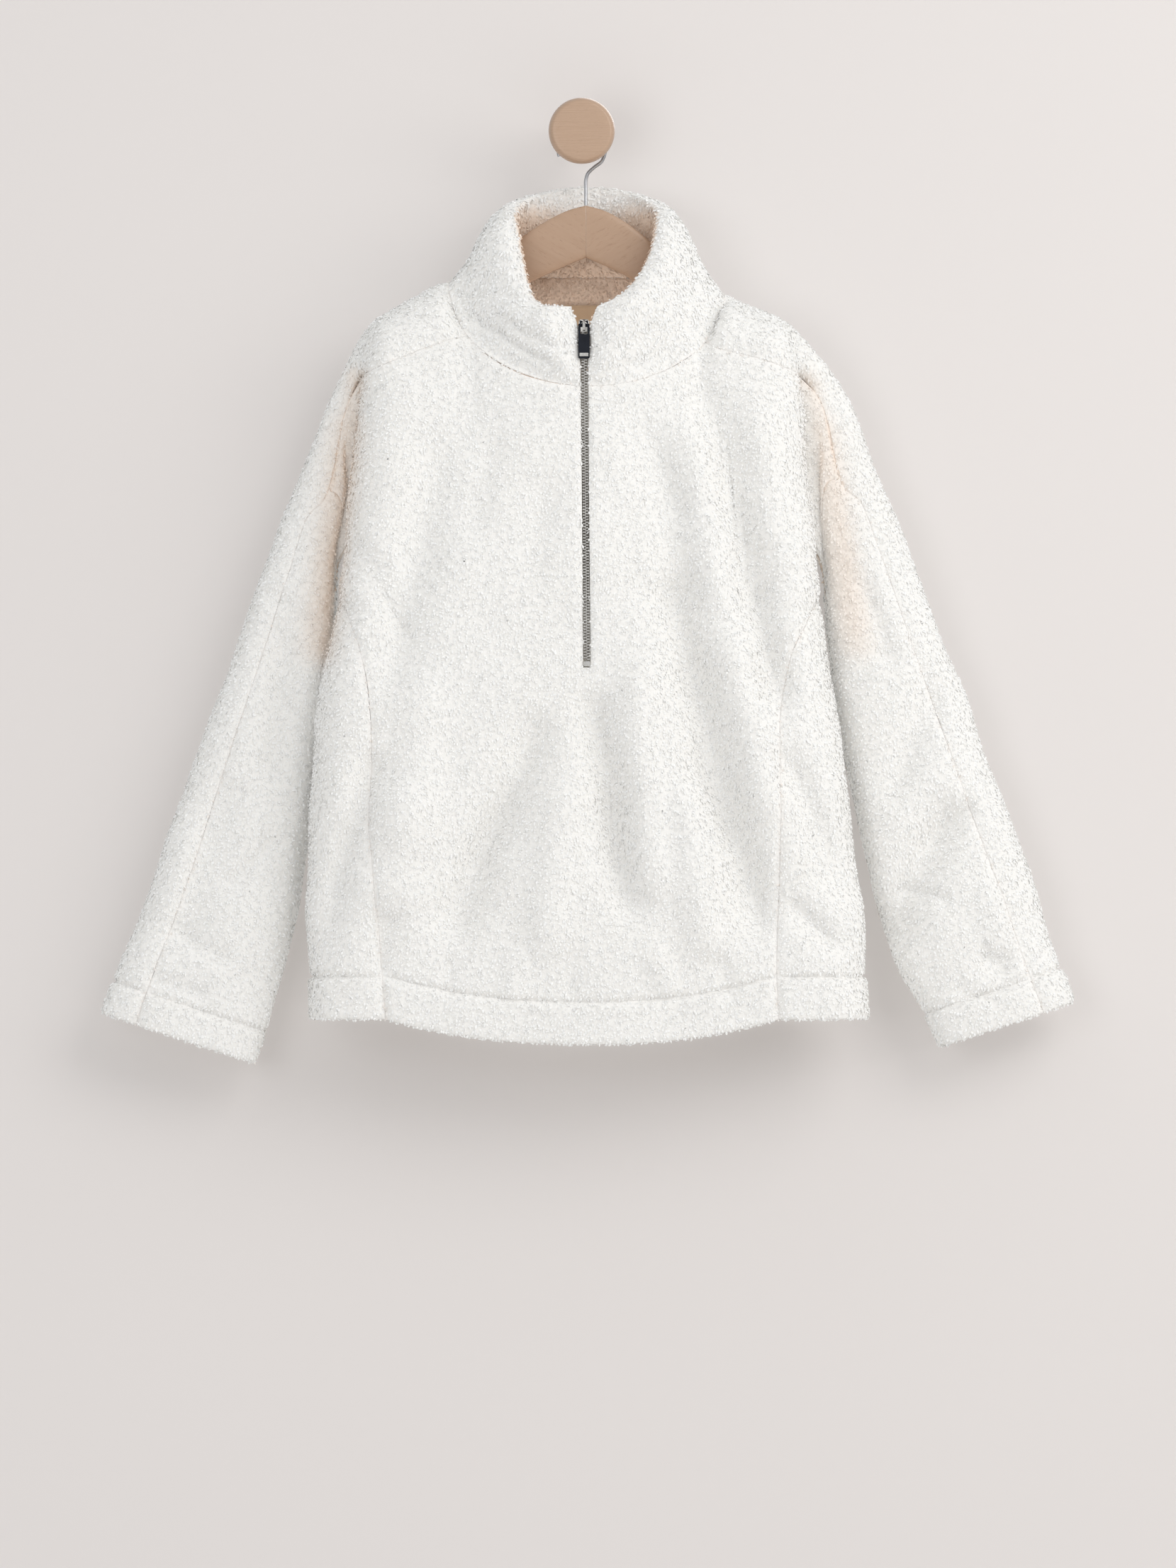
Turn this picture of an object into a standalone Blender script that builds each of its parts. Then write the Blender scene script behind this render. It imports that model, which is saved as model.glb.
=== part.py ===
"""Sherpa fleece half-zip pullover, hung on a two-arm wooden hanger from a turned wall peg.

Frame: metres, +Z up, -Y towards the viewer, the wall is the plane y = 0.
The origin is the middle of the peg's foot, where it meets the wall.

The cloth is one quad surface, the inner face of the fleece, made of patches that share their
borders: front, back, two side panels, two shoulder saddles, two sleeves and a funnel collar.
Every patch is worked out from the section tables below. The surface is then cut along its seams
into panels, and each panel becomes a closed wall by moving its points out along the surface's
own normals. Seams are drawn in thin, hems are turned up double, and panels stand 0.5 mm apart.
The saddles and sleeve pieces are long hollows, so each is made as two or three walls end to end.
All tables are in millimetres.
"""

import math

import bmesh
import bpy
import numpy as np
from mathutils import Vector
from mathutils.bvhtree import BVHTree

MM = 0.001
SHARP_ANGLE = math.radians(40)

# Cloth thickness, out from the inner face: open fleece, pinched in a seam, turned hem, the hem's
# lower edge and its stitched groove, and the collar's columns beside the zip.
FLEECE = 6.5
SEAM = 3.6
HEM = 7.6
HEM_EDGE = 5.6
GROOVE = 4.5
SLIT_EDGES = (5.0, 7.5, 12.0)
SEAM_GAP = 0.5
# How far the inner face draws in at a hem's lower edge and at the collar's rim.
HEM_TUCK = 1.5
RIM_TUCK = 2.0
FULL_ROOM = 30.0        # cloth with no facing layer nearer than this keeps its whole thickness
ROOM_SHARE = 0.44       # facing layers nearer than that each take this much of the space

# Body sections: half-outlines of the torso tube, measured to the inner face.
# height, left edge x, right edge x, front face y, back face y, front fold radius, rear inset
BODY = (
    (-170, -184, 184, -86, -24, 26, 6),
    (-205, -185, 183, -97, -18, 30, 8),
    (-260, -190, 187, -104, -15, 33, 14),
    (-310, -194, 190, -107, -14, 34, 26),
    (-400, -202, 197, -110, -14, 36, 50),
    (-480, -219, 210, -112, -14, 36, 66),
    (-560, -226, 221, -111, -15, 35, 70),
    (-650, -229, 234, -107, -17, 34, 68),
    (-775, -226, 240, -99, -20, 32, 58),
)

# Rows of the body from the neck seam to the hem: height at the middle, height at the side.
ROWS = (
    (-217, -206), (-231, -219), (-250, -237), (-274, -261), (-301, -289), (-329, -318),
    (-357, -346), (-380, -368), (-403, -390), (-427, -412), (-454, -437), (-484, -466),
    (-515, -497), (-546, -528), (-577, -558), (-609, -590), (-641, -621), (-673, -653),
    (-705, -684), (-735, -714), (-740, -719), (-757, -736), (-771, -750),
)
FRONT_CROWN = 5.0       # how far the front swells forward along its middle
UNDERARM_ROW = 6
ZIP_END_ROW = 10
STITCH_ROW = 19

# The underarm, where four seams cross: rows and how far the armhole is drawn out there, how far
# short of the crossing each panel stops, and its thickness at that corner.
UNDERARM_PULL = ((5, 1.0), (6, 3.0))
UNDERARM_GAP = 4.0
UNDERARM_THICK = 1.5

# Seams of the side panels. Round the fold below the armhole: row, way of the front seam, way of
# the back seam (1 is the fold, 2 the rear corner). Lower: height, distance from x = 0.
UNDERARM_WAYS = ((6, 1.22, 1.22), (7, 1.16, 1.5), (8, 1.07, 1.76))
FRONT_SEAM = (
    # height, left, right
    (-412, 195.5, 190), (-441, 186, 177), (-465, 181, 171.5), (-497, 177.5, 166.5),
    (-544, 176, 166.5), (-580, 178, 167), (-645, 173.5, 166.5), (-705, 168.5, 163.5),
    (-751, 165, 166),
)
BACK_SEAM = ((-412, 150, 144), (-500, 142, 138), (-620, 144, 146), (-751, 150, 154))

# Neck seam ring: half width, half depth, middle y, and heights at the front, side and back.
NECK_HALF_WIDTH = 116
NECK_HALF_DEPTH = 44
NECK_X = 4.0
NECK_Y = -63
NECK_Z = (-217, -131, -142, -121)      # front, left side, right side, back
SADDLE_START = 60      # degrees round the neck from the front, where the shoulder saddle begins
NECK_STEPS = 5         # columns from the zip to the saddle
SHOULDER_STEPS = 7     # columns from the neck to the armhole
SADDLE_STEPS = 6       # strips of the saddle, from its front seam over the shoulder to the back
SIDE_STEPS = 8         # strips of a side panel, from its front seam round to its back seam
NECK_SPREAD = 0.45     # spread of the body's columns below the end of the neck seam
SPREAD = ((0, 0), (1, 1), (2, 1.43), (3, 2.15))    # way, length round the section
# How much of the top edge's own shape each row still has, on the front and on the back.
FRONT_SETTLE = (1.0, 0.76, 0.52, 0.3, 0.14, 0.05)
BACK_SETTLE = (1.0, 0.85, 0.7, 0.56, 0.43, 0.31, 0.2, 0.12, 0.06, 0.02)

# Shoulder line and the saddle's two seams, from the neck outwards.
SHOULDER = (
    # crest: out, left z, right z; seams: out, front left z, front right z, back z
    (120, -131, -142, 104, -173, -182, -127),
    (128, -134.5, -145, 113, -177, -184.5, -141),
    (138, -140, -148.5, 126, -182, -187.5, -158),
    (149, -145.5, -153, 140, -187, -191, -174),
    (160, -152, -158, 154, -192.5, -195, -187),
    (171, -158.5, -164, 167, -198, -199.5, -197),
    (181, -167, -171.5, 178, -203, -203.5, -203),
    (188, -180, -180, 188, -206, -206, -206),
)
CREST_Y = -58

# Zip: x at two heights, half of the slit in the fleece, and where the slider stops.
ZIP_X = ((-150, 1.8), (-454, 4.4), (-775, 4.4))
SLIT_HALF = 3.6
ZIP_WAY = 0.016
SLIDER_TOP = -161.0

# Collar rim: half width, half depth, middle y, heights at the front, side and back.
RIM_HALF_WIDTH = 56
RIM_HALF_DEPTH = 37
RIM_X = 3.8
RIM_Y = -70
RIM_Z = (-150, -77, -49)
# The left of the rim sags: it stays level from the zip to where the turn's cosine is this.
RIM_SAG_LEFT = 0.8
# Half of the collar's opening beside the slider and at the rim, and where each widening starts
# and over what height it opens.
SLIDER_SLIT_HALF = 5.6
SLIDER_SLIT_RISE = (-196, 16)
RIM_V_HALF = 9.0
RIM_V_RISE = (-162, 10)
# share of the way up from the neck seam, hollow of the inner face, thickness
COLLAR_ROWS = (
    (0.0, 0, 3.6), (0.12, 6, 9), (0.3, 8, 15), (0.52, 5, 19), (0.76, 1, 21), (0.93, 0, 20),
    (1.0, 0, 14),
)

# Sleeve rings. share of the way, then the outer and inner edge of the left and right sleeve.
SLEEVE = (
    # share, left outer x z, left inner x z, right outer x z, right inner x z
    (0.00, -189, -180, -192, -346, 189, -180, 187, -346),
    (0.06, -203, -209, -204, -366, 208, -200, 200, -366),
    (0.13, -219, -245, -209, -398, 225, -232, 206, -398),
    (0.30, -258, -349, -216, -488, 266, -334, 217, -488),
    (0.50, -306, -480, -230, -586, 312, -453, 236, -586),
    (0.70, -350, -603, -244, -668, 357, -573, 254, -664),
    (0.85, -380, -683, -258, -722, 386, -653, 272, -715),
    (0.93, -394, -719, -269, -757, 402, -706, 292, -745),
    (1.00, -403, -747, -279, -788, 413, -738, 305, -774),
)
SLEEVE_RINGS = (0, .06, .13, .22, .29, .36, .44, .52, .6, .68, .76, .84, .9, .935, .945, .975, 1)
ARMHOLE_RING = 2
SLEEVE_SETTLED = 0.3
# The armhole seam on the front, from the saddle to the underarm: left x z, right x z.
ARMHOLE_SEAM = (
    (-213, -300, 218, -291), (-208, -306, 211, -294), (-204, -316, 205, -304),
    (-206, -335, 205, -326), (-209, -356, 207, -350), (-211, -378, 209, -374),
    (-213, -398, 210, -398),
)
CUFF_STITCH_RING = 13
# A long piece of the sleeve is made as shorter walls, end to end, so that each keeps its hollow:
# the rings where one ends and the next begins, and a word for each wall.
SADDLE_CUTS = (2, 8)
SADDLE_WALLS = ("shoulder", "elbow", "cuff")
SLEEVE_CUTS = (8,)
SLEEVE_WALLS = ("upper", "lower")
# share of the way, middle y, half depth to the front, half depth to the back
SLEEVE_DEPTH = (
    (0.00, -50, 6, 28), (0.06, -43, 13, 25), (0.13, -40, 17, 24), (0.30, -38, 23, 23),
    (0.60, -39, 26, 23), (0.85, -40, 24, 22), (1.00, -41, 21, 20),
)
# How far across the sleeve its lengthwise lines run, from the outer edge to the inner.
SLEEVE_ACROSS = (0.21, 0.34, 0.49, 0.64, 0.79, 0.92, 1.0)
SLEEVE_TOP = (0.21, 0.09, 0.022, 0.0, 0.022, 0.09, 0.21)

# Drape folds: start x z, end x z, half width, depth (troughs sink, ridges are negative).
FRONT_FOLDS = (
    (-119, -266, -159, -464, 20, 5), (-38, -505, -110, -668, 19, 8),
    (9, -485, 40, -655, 15, 7), (74, -392, 148, -667, 18, 10),
    (109, -224, 162, -474, 17, 10), (172, -217, 181, -338, 10, 5),
    (48, -464, 58, -636, 17, -5), (129, -428, 157, -572, 17, -5),
    (-150, -560, -160, -650, 26, -5), (-177, -536, -216, -685, 13, 5),
    (175, -532, 226, -653, 13, 5), (176, -653, 216, -690, 10, 4),
)
BACK_FOLDS = (
    (-70, -200, -130, -520, 24, 5), (60, -230, 120, -560, 22, 6),
    (-20, -380, -60, -690, 20, 5), (20, -420, 70, -700, 18, 5),
)
SLEEVE_FOLDS = (
    (322, -580, 276, -676, 18, 6), (336, -700, 362, -706, 13, 4), (300, -470, 262, -560, 16, 4),
    (-300, -560, -340, -690, 18, 4), (-250, -420, -262, -540, 14, 4),
)

# Zip parts, all measured from the inner face of the fleece at the slit, to the front.
TAPE = (-2.0, -1.1)     # the tape's back and front
TAPE_HALF = 13.0
CHAIN = (-0.3, 2.2)
CHAIN_HALF = 2.7
CHAIN_LOW = 6.0         # the chain's lower end above the slit's
STOP_MIDDLE = (1.2, 3.2)        # how far forward, how far above the slit's lower end
STOP_HALF = (3.0, 1.5, 2.2)
SLIDER_HEIGHT = 11.0
SLIDER_MIDDLE = 2.2
SLIDER_HALF_DEPTH = 2.4
SLIDER_WAIST = ((0, 3.6), (1.5, 3.8), (5.0, 4.4), (9.0, 4.6), (SLIDER_HEIGHT, 3.4))
BRIDGE_HALF = 1.1
BRIDGE_BAR = 1.1
BRIDGE_RISE = 3.4
BRIDGE_INSET = (1.2, 1.6)       # the arch's feet in from the slider's lower and upper end

# Zip pull: its hinge bar stands this far in front of the slider and below its top.
HINGE = (1.3, 4.2)
PULL_BAR = 0.65         # half of the bar's height
PULL_HALF = 4.8
PULL_LENGTH = 29.5
PULL_THICK = 1.3
PULL_CORNER = 1.2
WINDOW_HALF = 3.2
WINDOW_LENGTH = 7.6
WINDOW_CORNER = 1.0
END_HALF = 3.7
END_HEIGHT = 2.9
END_THICK = 0.6
END_FOOT = 2.6
END_CLEAR = 0.1

# Neck label: columns of the back on each side of the middle, rows down it, and how proud it is.
LABEL_COLUMNS = 1
LABEL_PLACES = (0.55, 1.0, 1.45)
LABEL = (0.5, 1.3)

# Hanger: out, top, height of the wood, half thickness. The tops follow the shoulder line.
HANGER_X = 3.5
HANGER = (
    # out, left top, right top, height, half thickness
    (0.15, -62.5, -62.5, 44, 6), (16, -67, -67, 44, 6), (34, -76, -77, 44, 6),
    (50, -86, -89, 43, 6.5), (75, -107, -113, 38, 6.5), (98, -125, -133, 32, 6.5),
    (117, -134, -144.5, 28, 7), (136, -142, -151, 26, 7), (152, -150, -157, 24, 7),
    (166, -158.5, -164.5, 20, 7),
)
# Outline of an arm's section: share of the half thickness, share of the height down.
ARM_OUTLINE = ((0, 0), (0.5, 0.03), (0.86, 0.1), (1, 0.2), (1, 0.84), (0.8, 0.96), (0.4, 1))
HOOK_RADIUS = 20.0
HOOK_WIRE = 1.5
HOOK_SHANK = ((0, -50), (0, -41), (1.6, -35.5), (7, -30))      # out from the shank, height
HOOK_TURN = (-32, 206, 14)      # degrees round the arc: start, end, step
PEG_RADIUS = 28.0
PEG_DISC = (-83.0, -63.0)       # front and back face
PEG_EDGE = 3.0
STEM_RADIUS = 4.0
FOOT_RADIUS = 10.0
FOOT_DEPTH = 4.0
CLEAR = 0.3


def mix(a, b, share):
    return a + (b - a) * share


def smooth(share):
    share = min(1.0, max(0.0, share))
    return share * share * (3 - 2 * share)


def look_up(table, key, column=1, falling=False):
    """The table's column at a key, in straight lines between its rows."""
    keys = [row[0] for row in table]
    values = [row[column] for row in table]
    if falling:
        keys, values = keys[::-1], values[::-1]
    return float(np.interp(key, keys, values))


def body_at(z, column):
    return look_up(BODY, z, column, falling=True)


def zip_x(z):
    return look_up(ZIP_X, z, 1, falling=True)


# ---------------------------------------------------------------- the torso's sections


def front_length(side, z):
    """(flat, arc) lengths of the half front: straight from the middle, then a quarter turn."""
    half = abs(body_at(z, 1 if side < 0 else 2) - zip_x(z))
    radius = body_at(z, 5)
    return half - radius, radius * math.pi / 2


def body_point(side, way, z):
    """A point of the torso's section: way 0 is the middle front, 1 the fold at the side,
    2 the rear corner and 3 the middle back."""
    flat, arc = front_length(side, z)
    radius = body_at(z, 5)
    front, back, inset = body_at(z, 3), body_at(z, 4), body_at(z, 6)
    if way <= 1:
        along = way * (flat + arc)
        if along <= flat:
            x, y = along, front
        else:
            turn = (along - flat) / radius
            x, y = flat + radius * math.sin(turn), front + radius * (1 - math.cos(turn))
    elif way <= 2:
        turn = (way - 1) * math.pi / 2
        side_y = front + radius
        x = flat + radius - inset * (1 - math.cos(turn) ** 1.8)
        y = side_y + (back - side_y) * math.sin(turn)
    else:
        x, y = (flat + radius - inset) * (3 - way), back
    y -= FRONT_CROWN * max(0.0, 1 - way) ** 0.5 * smooth(1 - way)
    return Vector((zip_x(z) + side * x, y, z))


def way_of(side, x_out, z):
    """The way of a point of the front that lies x_out from x = 0."""
    flat, arc = front_length(side, z)
    radius = body_at(z, 5)
    out = x_out - side * zip_x(z)
    if out <= flat:
        return out / (flat + arc)
    turn = math.asin(min(1.0, (out - flat) / radius))
    return (flat + radius * turn) / (flat + arc)


def sink(point, folds, towards):
    """Moves a point in y by the drape folds near it."""
    for x0, z0, x1, z1, width, depth in folds:
        a, b = Vector((x0, z0)), Vector((x1, z1))
        p = Vector((point.x, point.z))
        share = (p - a).dot(b - a) / (b - a).length_squared
        ends = smooth((share + 0.25) / 0.4) * smooth((1.25 - share) / 0.4)
        away = (p - a.lerp(b, min(1.0, max(0.0, share)))).length
        point.y += towards * depth * ends * math.exp(-((away / width) ** 2))
    return point


def neck_point(degrees):
    """A point of the neck seam; 0 is the front, 180 the back, negative on the left."""
    turn = math.radians(degrees)
    front, back = NECK_Z[0], NECK_Z[3]
    side = NECK_Z[1] if degrees < 0 else NECK_Z[2]
    lift = math.cos(turn)
    z = side + (front - side) * lift if lift > 0 else side - (back - side) * lift
    x = NECK_HALF_WIDTH * math.sin(turn) + NECK_X
    return Vector((x, NECK_Y - NECK_HALF_DEPTH * math.cos(turn), z))


def crest_point(side, step):
    out, left, right = SHOULDER[step][:3]
    return Vector((side * out + 1.0, CREST_Y, left if side < 0 else right))


def saddle_seam(side, step, at_front):
    """(x, z) of the saddle's front or back seam, a step out from the neck."""
    out, left, right, rear = SHOULDER[step][3:]
    z = (left if side < 0 else right) if at_front else rear
    return side * out + 1.0, z


def front_boundary_way(side, row):
    """Where the front panel ends at a row: tucked in at the armhole, or at the side seam."""
    z = ROWS[row][1]
    if row <= UNDERARM_ROW:
        return mix(1.1, UNDERARM_WAYS[0][1], smooth(row / 4))
    if row <= UNDERARM_WAYS[-1][0]:
        return look_up(UNDERARM_WAYS, row, 1)
    return way_of(side, look_up(FRONT_SEAM, z, 1 if side < 0 else 2, falling=True), z)


def back_boundary_way(side, row):
    z = ROWS[row][1]
    if row <= UNDERARM_ROW:
        return mix(1.9, UNDERARM_WAYS[0][2], smooth((row - 1) / 5))
    if row <= UNDERARM_WAYS[-1][0]:
        return look_up(UNDERARM_WAYS, row, 2)
    flat = front_length(side, z)[0]
    rear = flat + body_at(z, 5) - body_at(z, 6)
    return 3 - look_up(BACK_SEAM, z, 1 if side < 0 else 2, falling=True) / rear


def pull_underarm(side, rows):
    """Draws the foot of the armhole out towards the sleeve."""
    for row, pull in UNDERARM_PULL:
        rows[row][-1].x += side * pull
    return rows


def row_height(row, share):
    """Height of a row at a share of the way from the middle to its side end."""
    middle, edge = ROWS[row]
    return mix(middle, edge, abs(share) ** 2.2)


def spread(way):
    return float(np.interp(way, [row[0] for row in SPREAD], [row[1] for row in SPREAD]))


def way_at(length):
    return float(np.interp(length, [row[1] for row in SPREAD], [row[0] for row in SPREAD]))


def column_place(column, start, end):
    """(way, share of the whole length) of a column of a half body, from way start to way end."""
    first, last = spread(start), spread(end)
    neck = first + math.copysign(NECK_SPREAD, last - first)
    if column <= NECK_STEPS:
        length = mix(first, neck, column / NECK_STEPS)
    else:
        share = (column - NECK_STEPS) / SHOULDER_STEPS
        length = mix(neck, last, 1 - (1 - share) ** 1.2)
    return way_at(length), (length - first) / (last - first)


def settle(points, table, row, shifts):
    """Moves a row's points by the part of the top edge's shape that it still has."""
    share = table[row] if row < len(table) else 0.0
    for point, shift in zip(points, shifts):
        point += shift * share


def half_front(side):
    """Rows of points of the half front, from the zip to the side end."""
    top = []
    for step in range(NECK_STEPS + 1):
        degrees = mix(0, SADDLE_START, step / NECK_STEPS)
        point = neck_point(side * degrees)
        if step == 0:
            point.x = zip_x(point.z) + side * SLIT_HALF
        top.append(point)
    steps = NECK_STEPS + SHOULDER_STEPS
    rows = []
    for row in range(len(ROWS)):
        points = []
        for column in range(steps + 1):
            way, share = column_place(column, ZIP_WAY, front_boundary_way(side, row))
            z = row_height(row, share)
            point = body_point(side, way, z)
            facing = smooth((1.25 - way) / 0.5)
            sink(point, FRONT_FOLDS, facing)
            points.append(point)
        rows.append(points)
    for column in range(1, SHOULDER_STEPS):
        x, z = saddle_seam(side, column, True)
        y = body_point(side, way_of(side, abs(x), z), z).y
        top.append(Vector((x, y, z)))
    top.append(rows[0][-1].copy())
    shifts = [top[c] - rows[0][c] for c in range(steps + 1)]
    for row, points in enumerate(rows):
        settle(points, FRONT_SETTLE, row, shifts)
        points[0].x = zip_x(points[0].z) + side * SLIT_HALF
    return pull_underarm(side, rows)


def half_back(side):
    """Rows of points of the half back, from the middle to the side end."""
    steps = NECK_STEPS + SHOULDER_STEPS
    rows = []
    for row in range(len(ROWS)):
        points = []
        for column in range(steps + 1):
            way, share = column_place(column, 3, back_boundary_way(side, row))
            z = row_height(row, share)
            point = sink(body_point(side, way, z), BACK_FOLDS, -smooth((way - 1.8) / 0.4))
            points.append(point)
        rows.append(points)
    top = []
    for step in range(NECK_STEPS + 1):
        degrees = mix(180, 180 - SADDLE_START, step / NECK_STEPS)
        top.append(neck_point(side * degrees))
    neck, last = top[NECK_STEPS], rows[0][-1]
    full = abs(saddle_seam(side, SHOULDER_STEPS, False)[0])
    for column in range(1, SHOULDER_STEPS):
        x, z = saddle_seam(side, column, False)
        x = mix(neck.x, last.x, (abs(x) - abs(neck.x)) / (full - abs(neck.x)))
        y = mix(neck.y, last.y, smooth(column / 4))
        top.append(Vector((x, y, z)))
    top.append(last.copy())
    shifts = [top[c] - rows[0][c] for c in range(steps + 1)]
    for row, points in enumerate(rows):
        settle(points, BACK_SETTLE, row, shifts)
    return pull_underarm(side, rows)


def side_panel(side, front, back):
    """Rows of a side panel from the underarm down, from its front seam round to its back seam."""
    rows = []
    for row in range(UNDERARM_ROW, len(ROWS)):
        start, end = front_boundary_way(side, row), back_boundary_way(side, row)
        points = [front[row][-1].copy()]
        z = ROWS[row][1]
        for step in range(1, SIDE_STEPS):
            way = way_at(mix(spread(start), spread(end), step / SIDE_STEPS))
            point = sink(body_point(side, way, z), FRONT_FOLDS, smooth((1.25 - way) / 0.5))
            points.append(point)
        points.append(back[row][-1].copy())
        if row == UNDERARM_ROW:
            points = [front[row][-1].copy() for _ in points]
        rows.append(points)
    return rows


def saddle(side, front, back):
    """Strips from the front seam over the crest to the back seam, from the neck outwards."""
    half = SADDLE_STEPS // 2
    rows = []
    for step in range(SHOULDER_STEPS + 1):
        low = front[0][NECK_STEPS + step]
        far = back[0][NECK_STEPS + step]
        crest = crest_point(side, step)
        points = []
        for strip in range(SADDLE_STEPS + 1):
            if step == 0:
                degrees = mix(SADDLE_START, 180 - SADDLE_START, strip / SADDLE_STEPS)
                points.append(neck_point(side * degrees))
                continue
            end, share = (low, strip / half) if strip <= half else (far, 2 - strip / half)
            turn = share * math.pi / 2
            x = mix(end.x, crest.x, share)
            y = mix(end.y, crest.y, 1 - math.cos(turn))
            z = mix(end.z, crest.z, math.sin(turn))
            points.append(Vector((x, y, z)))
        rows.append(points)
    return rows


def oval(side, share, across, towards):
    """A point of a sleeve's ring: across 0 is its outer edge, 1 its inner edge."""
    first = 1 if side < 0 else 5
    ox, oz, ix, iz = (look_up(SLEEVE, share, first + i) for i in range(4))
    middle, fore, aft = (look_up(SLEEVE_DEPTH, share, i) for i in (1, 2, 3))
    height = (1 - abs(2 * across - 1) ** 2.6) ** 0.5
    y = middle + (-fore if towards < 0 else aft) * height
    point = Vector((mix(ox, ix, across), y, mix(oz, iz, across)))
    if towards < 0:
        sink(point, SLEEVE_FOLDS, smooth(share * 4))
    return point


def sleeve(side, front, back, top):
    """Rings of the sleeve, front seam - underarm - back seam - over the top, from the armhole."""
    first = [front[row][-1] for row in range(UNDERARM_ROW + 1)]
    first += [back[row][-1] for row in range(UNDERARM_ROW - 1, -1, -1)]
    first += [top[-1][strip] for strip in range(SADDLE_STEPS - 1, 0, -1)]
    rings, start = [], None
    for share in SLEEVE_RINGS:
        ring = [oval(side, share, across, -1) for across in SLEEVE_ACROSS]
        ring += [oval(side, share, across, 1) for across in SLEEVE_ACROSS[-2::-1]]
        ring += [
            oval(side, share, SLEEVE_TOP[strip], 1 if strip > SADDLE_STEPS // 2 else -1)
            for strip in range(SADDLE_STEPS - 1, 0, -1)
        ]
        start = start or ring
        held = 1 - smooth(share / SLEEVE_SETTLED)
        rings.append([point + (a - b) * held for point, a, b in zip(ring, first, start)])
    for column, (left, left_z, right, right_z) in enumerate(ARMHOLE_SEAM):
        point = rings[ARMHOLE_RING][column]
        point.x, point.z = (left, left_z) if side < 0 else (right, right_z)
    return rings


def rim_point(degrees):
    turn = math.radians(degrees)
    front, side, back = RIM_Z
    lift = math.cos(turn)
    if lift > 0 and turn < 0:
        lift = smooth(lift / RIM_SAG_LEFT)
    z = side + (front - side) * lift if lift > 0 else side - (back - side) * lift
    x = RIM_HALF_WIDTH * math.sin(turn) + RIM_X
    return Vector((x, RIM_Y - RIM_HALF_DEPTH * math.cos(turn), z))


def collar(ring, degrees):
    """Rows of the collar from the neck seam up. ring holds the neck's own points, degrees where
    each stands round the neck."""
    rows = []
    for share, hollow, _ in COLLAR_ROWS:
        points = []
        for base, turn in zip(ring, degrees):
            point = base.lerp(rim_point(turn), share)
            out = Vector((base.x - NECK_X, (base.y - NECK_Y) * 2, 0)).normalized()
            point -= out * hollow * smooth(abs(turn) / 40)
            if abs(turn) < 1:
                side = 1 if turn > 0 else -1
                low, rise = SLIDER_SLIT_RISE
                opening = mix(SLIT_HALF, SLIDER_SLIT_HALF, smooth((point.z - low) / rise))
                low, rise = RIM_V_RISE
                opening += (RIM_V_HALF - SLIDER_SLIT_HALF) * smooth((point.z - low) / rise)
                point.x = zip_x(point.z) + side * opening
            points.append(point)
        rows.append(points)
    return rows


# ---------------------------------------------------------------- one surface, cut into panels


def least_lean(sides):
    """The direction that leans as little as it can from all of the faces' normals."""
    normal = sum(sides, Vector()).normalized()
    for _ in range(80):
        worst = min(sides, key=normal.dot)
        normal = (normal + worst * 0.05).normalized()
    return normal


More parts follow.
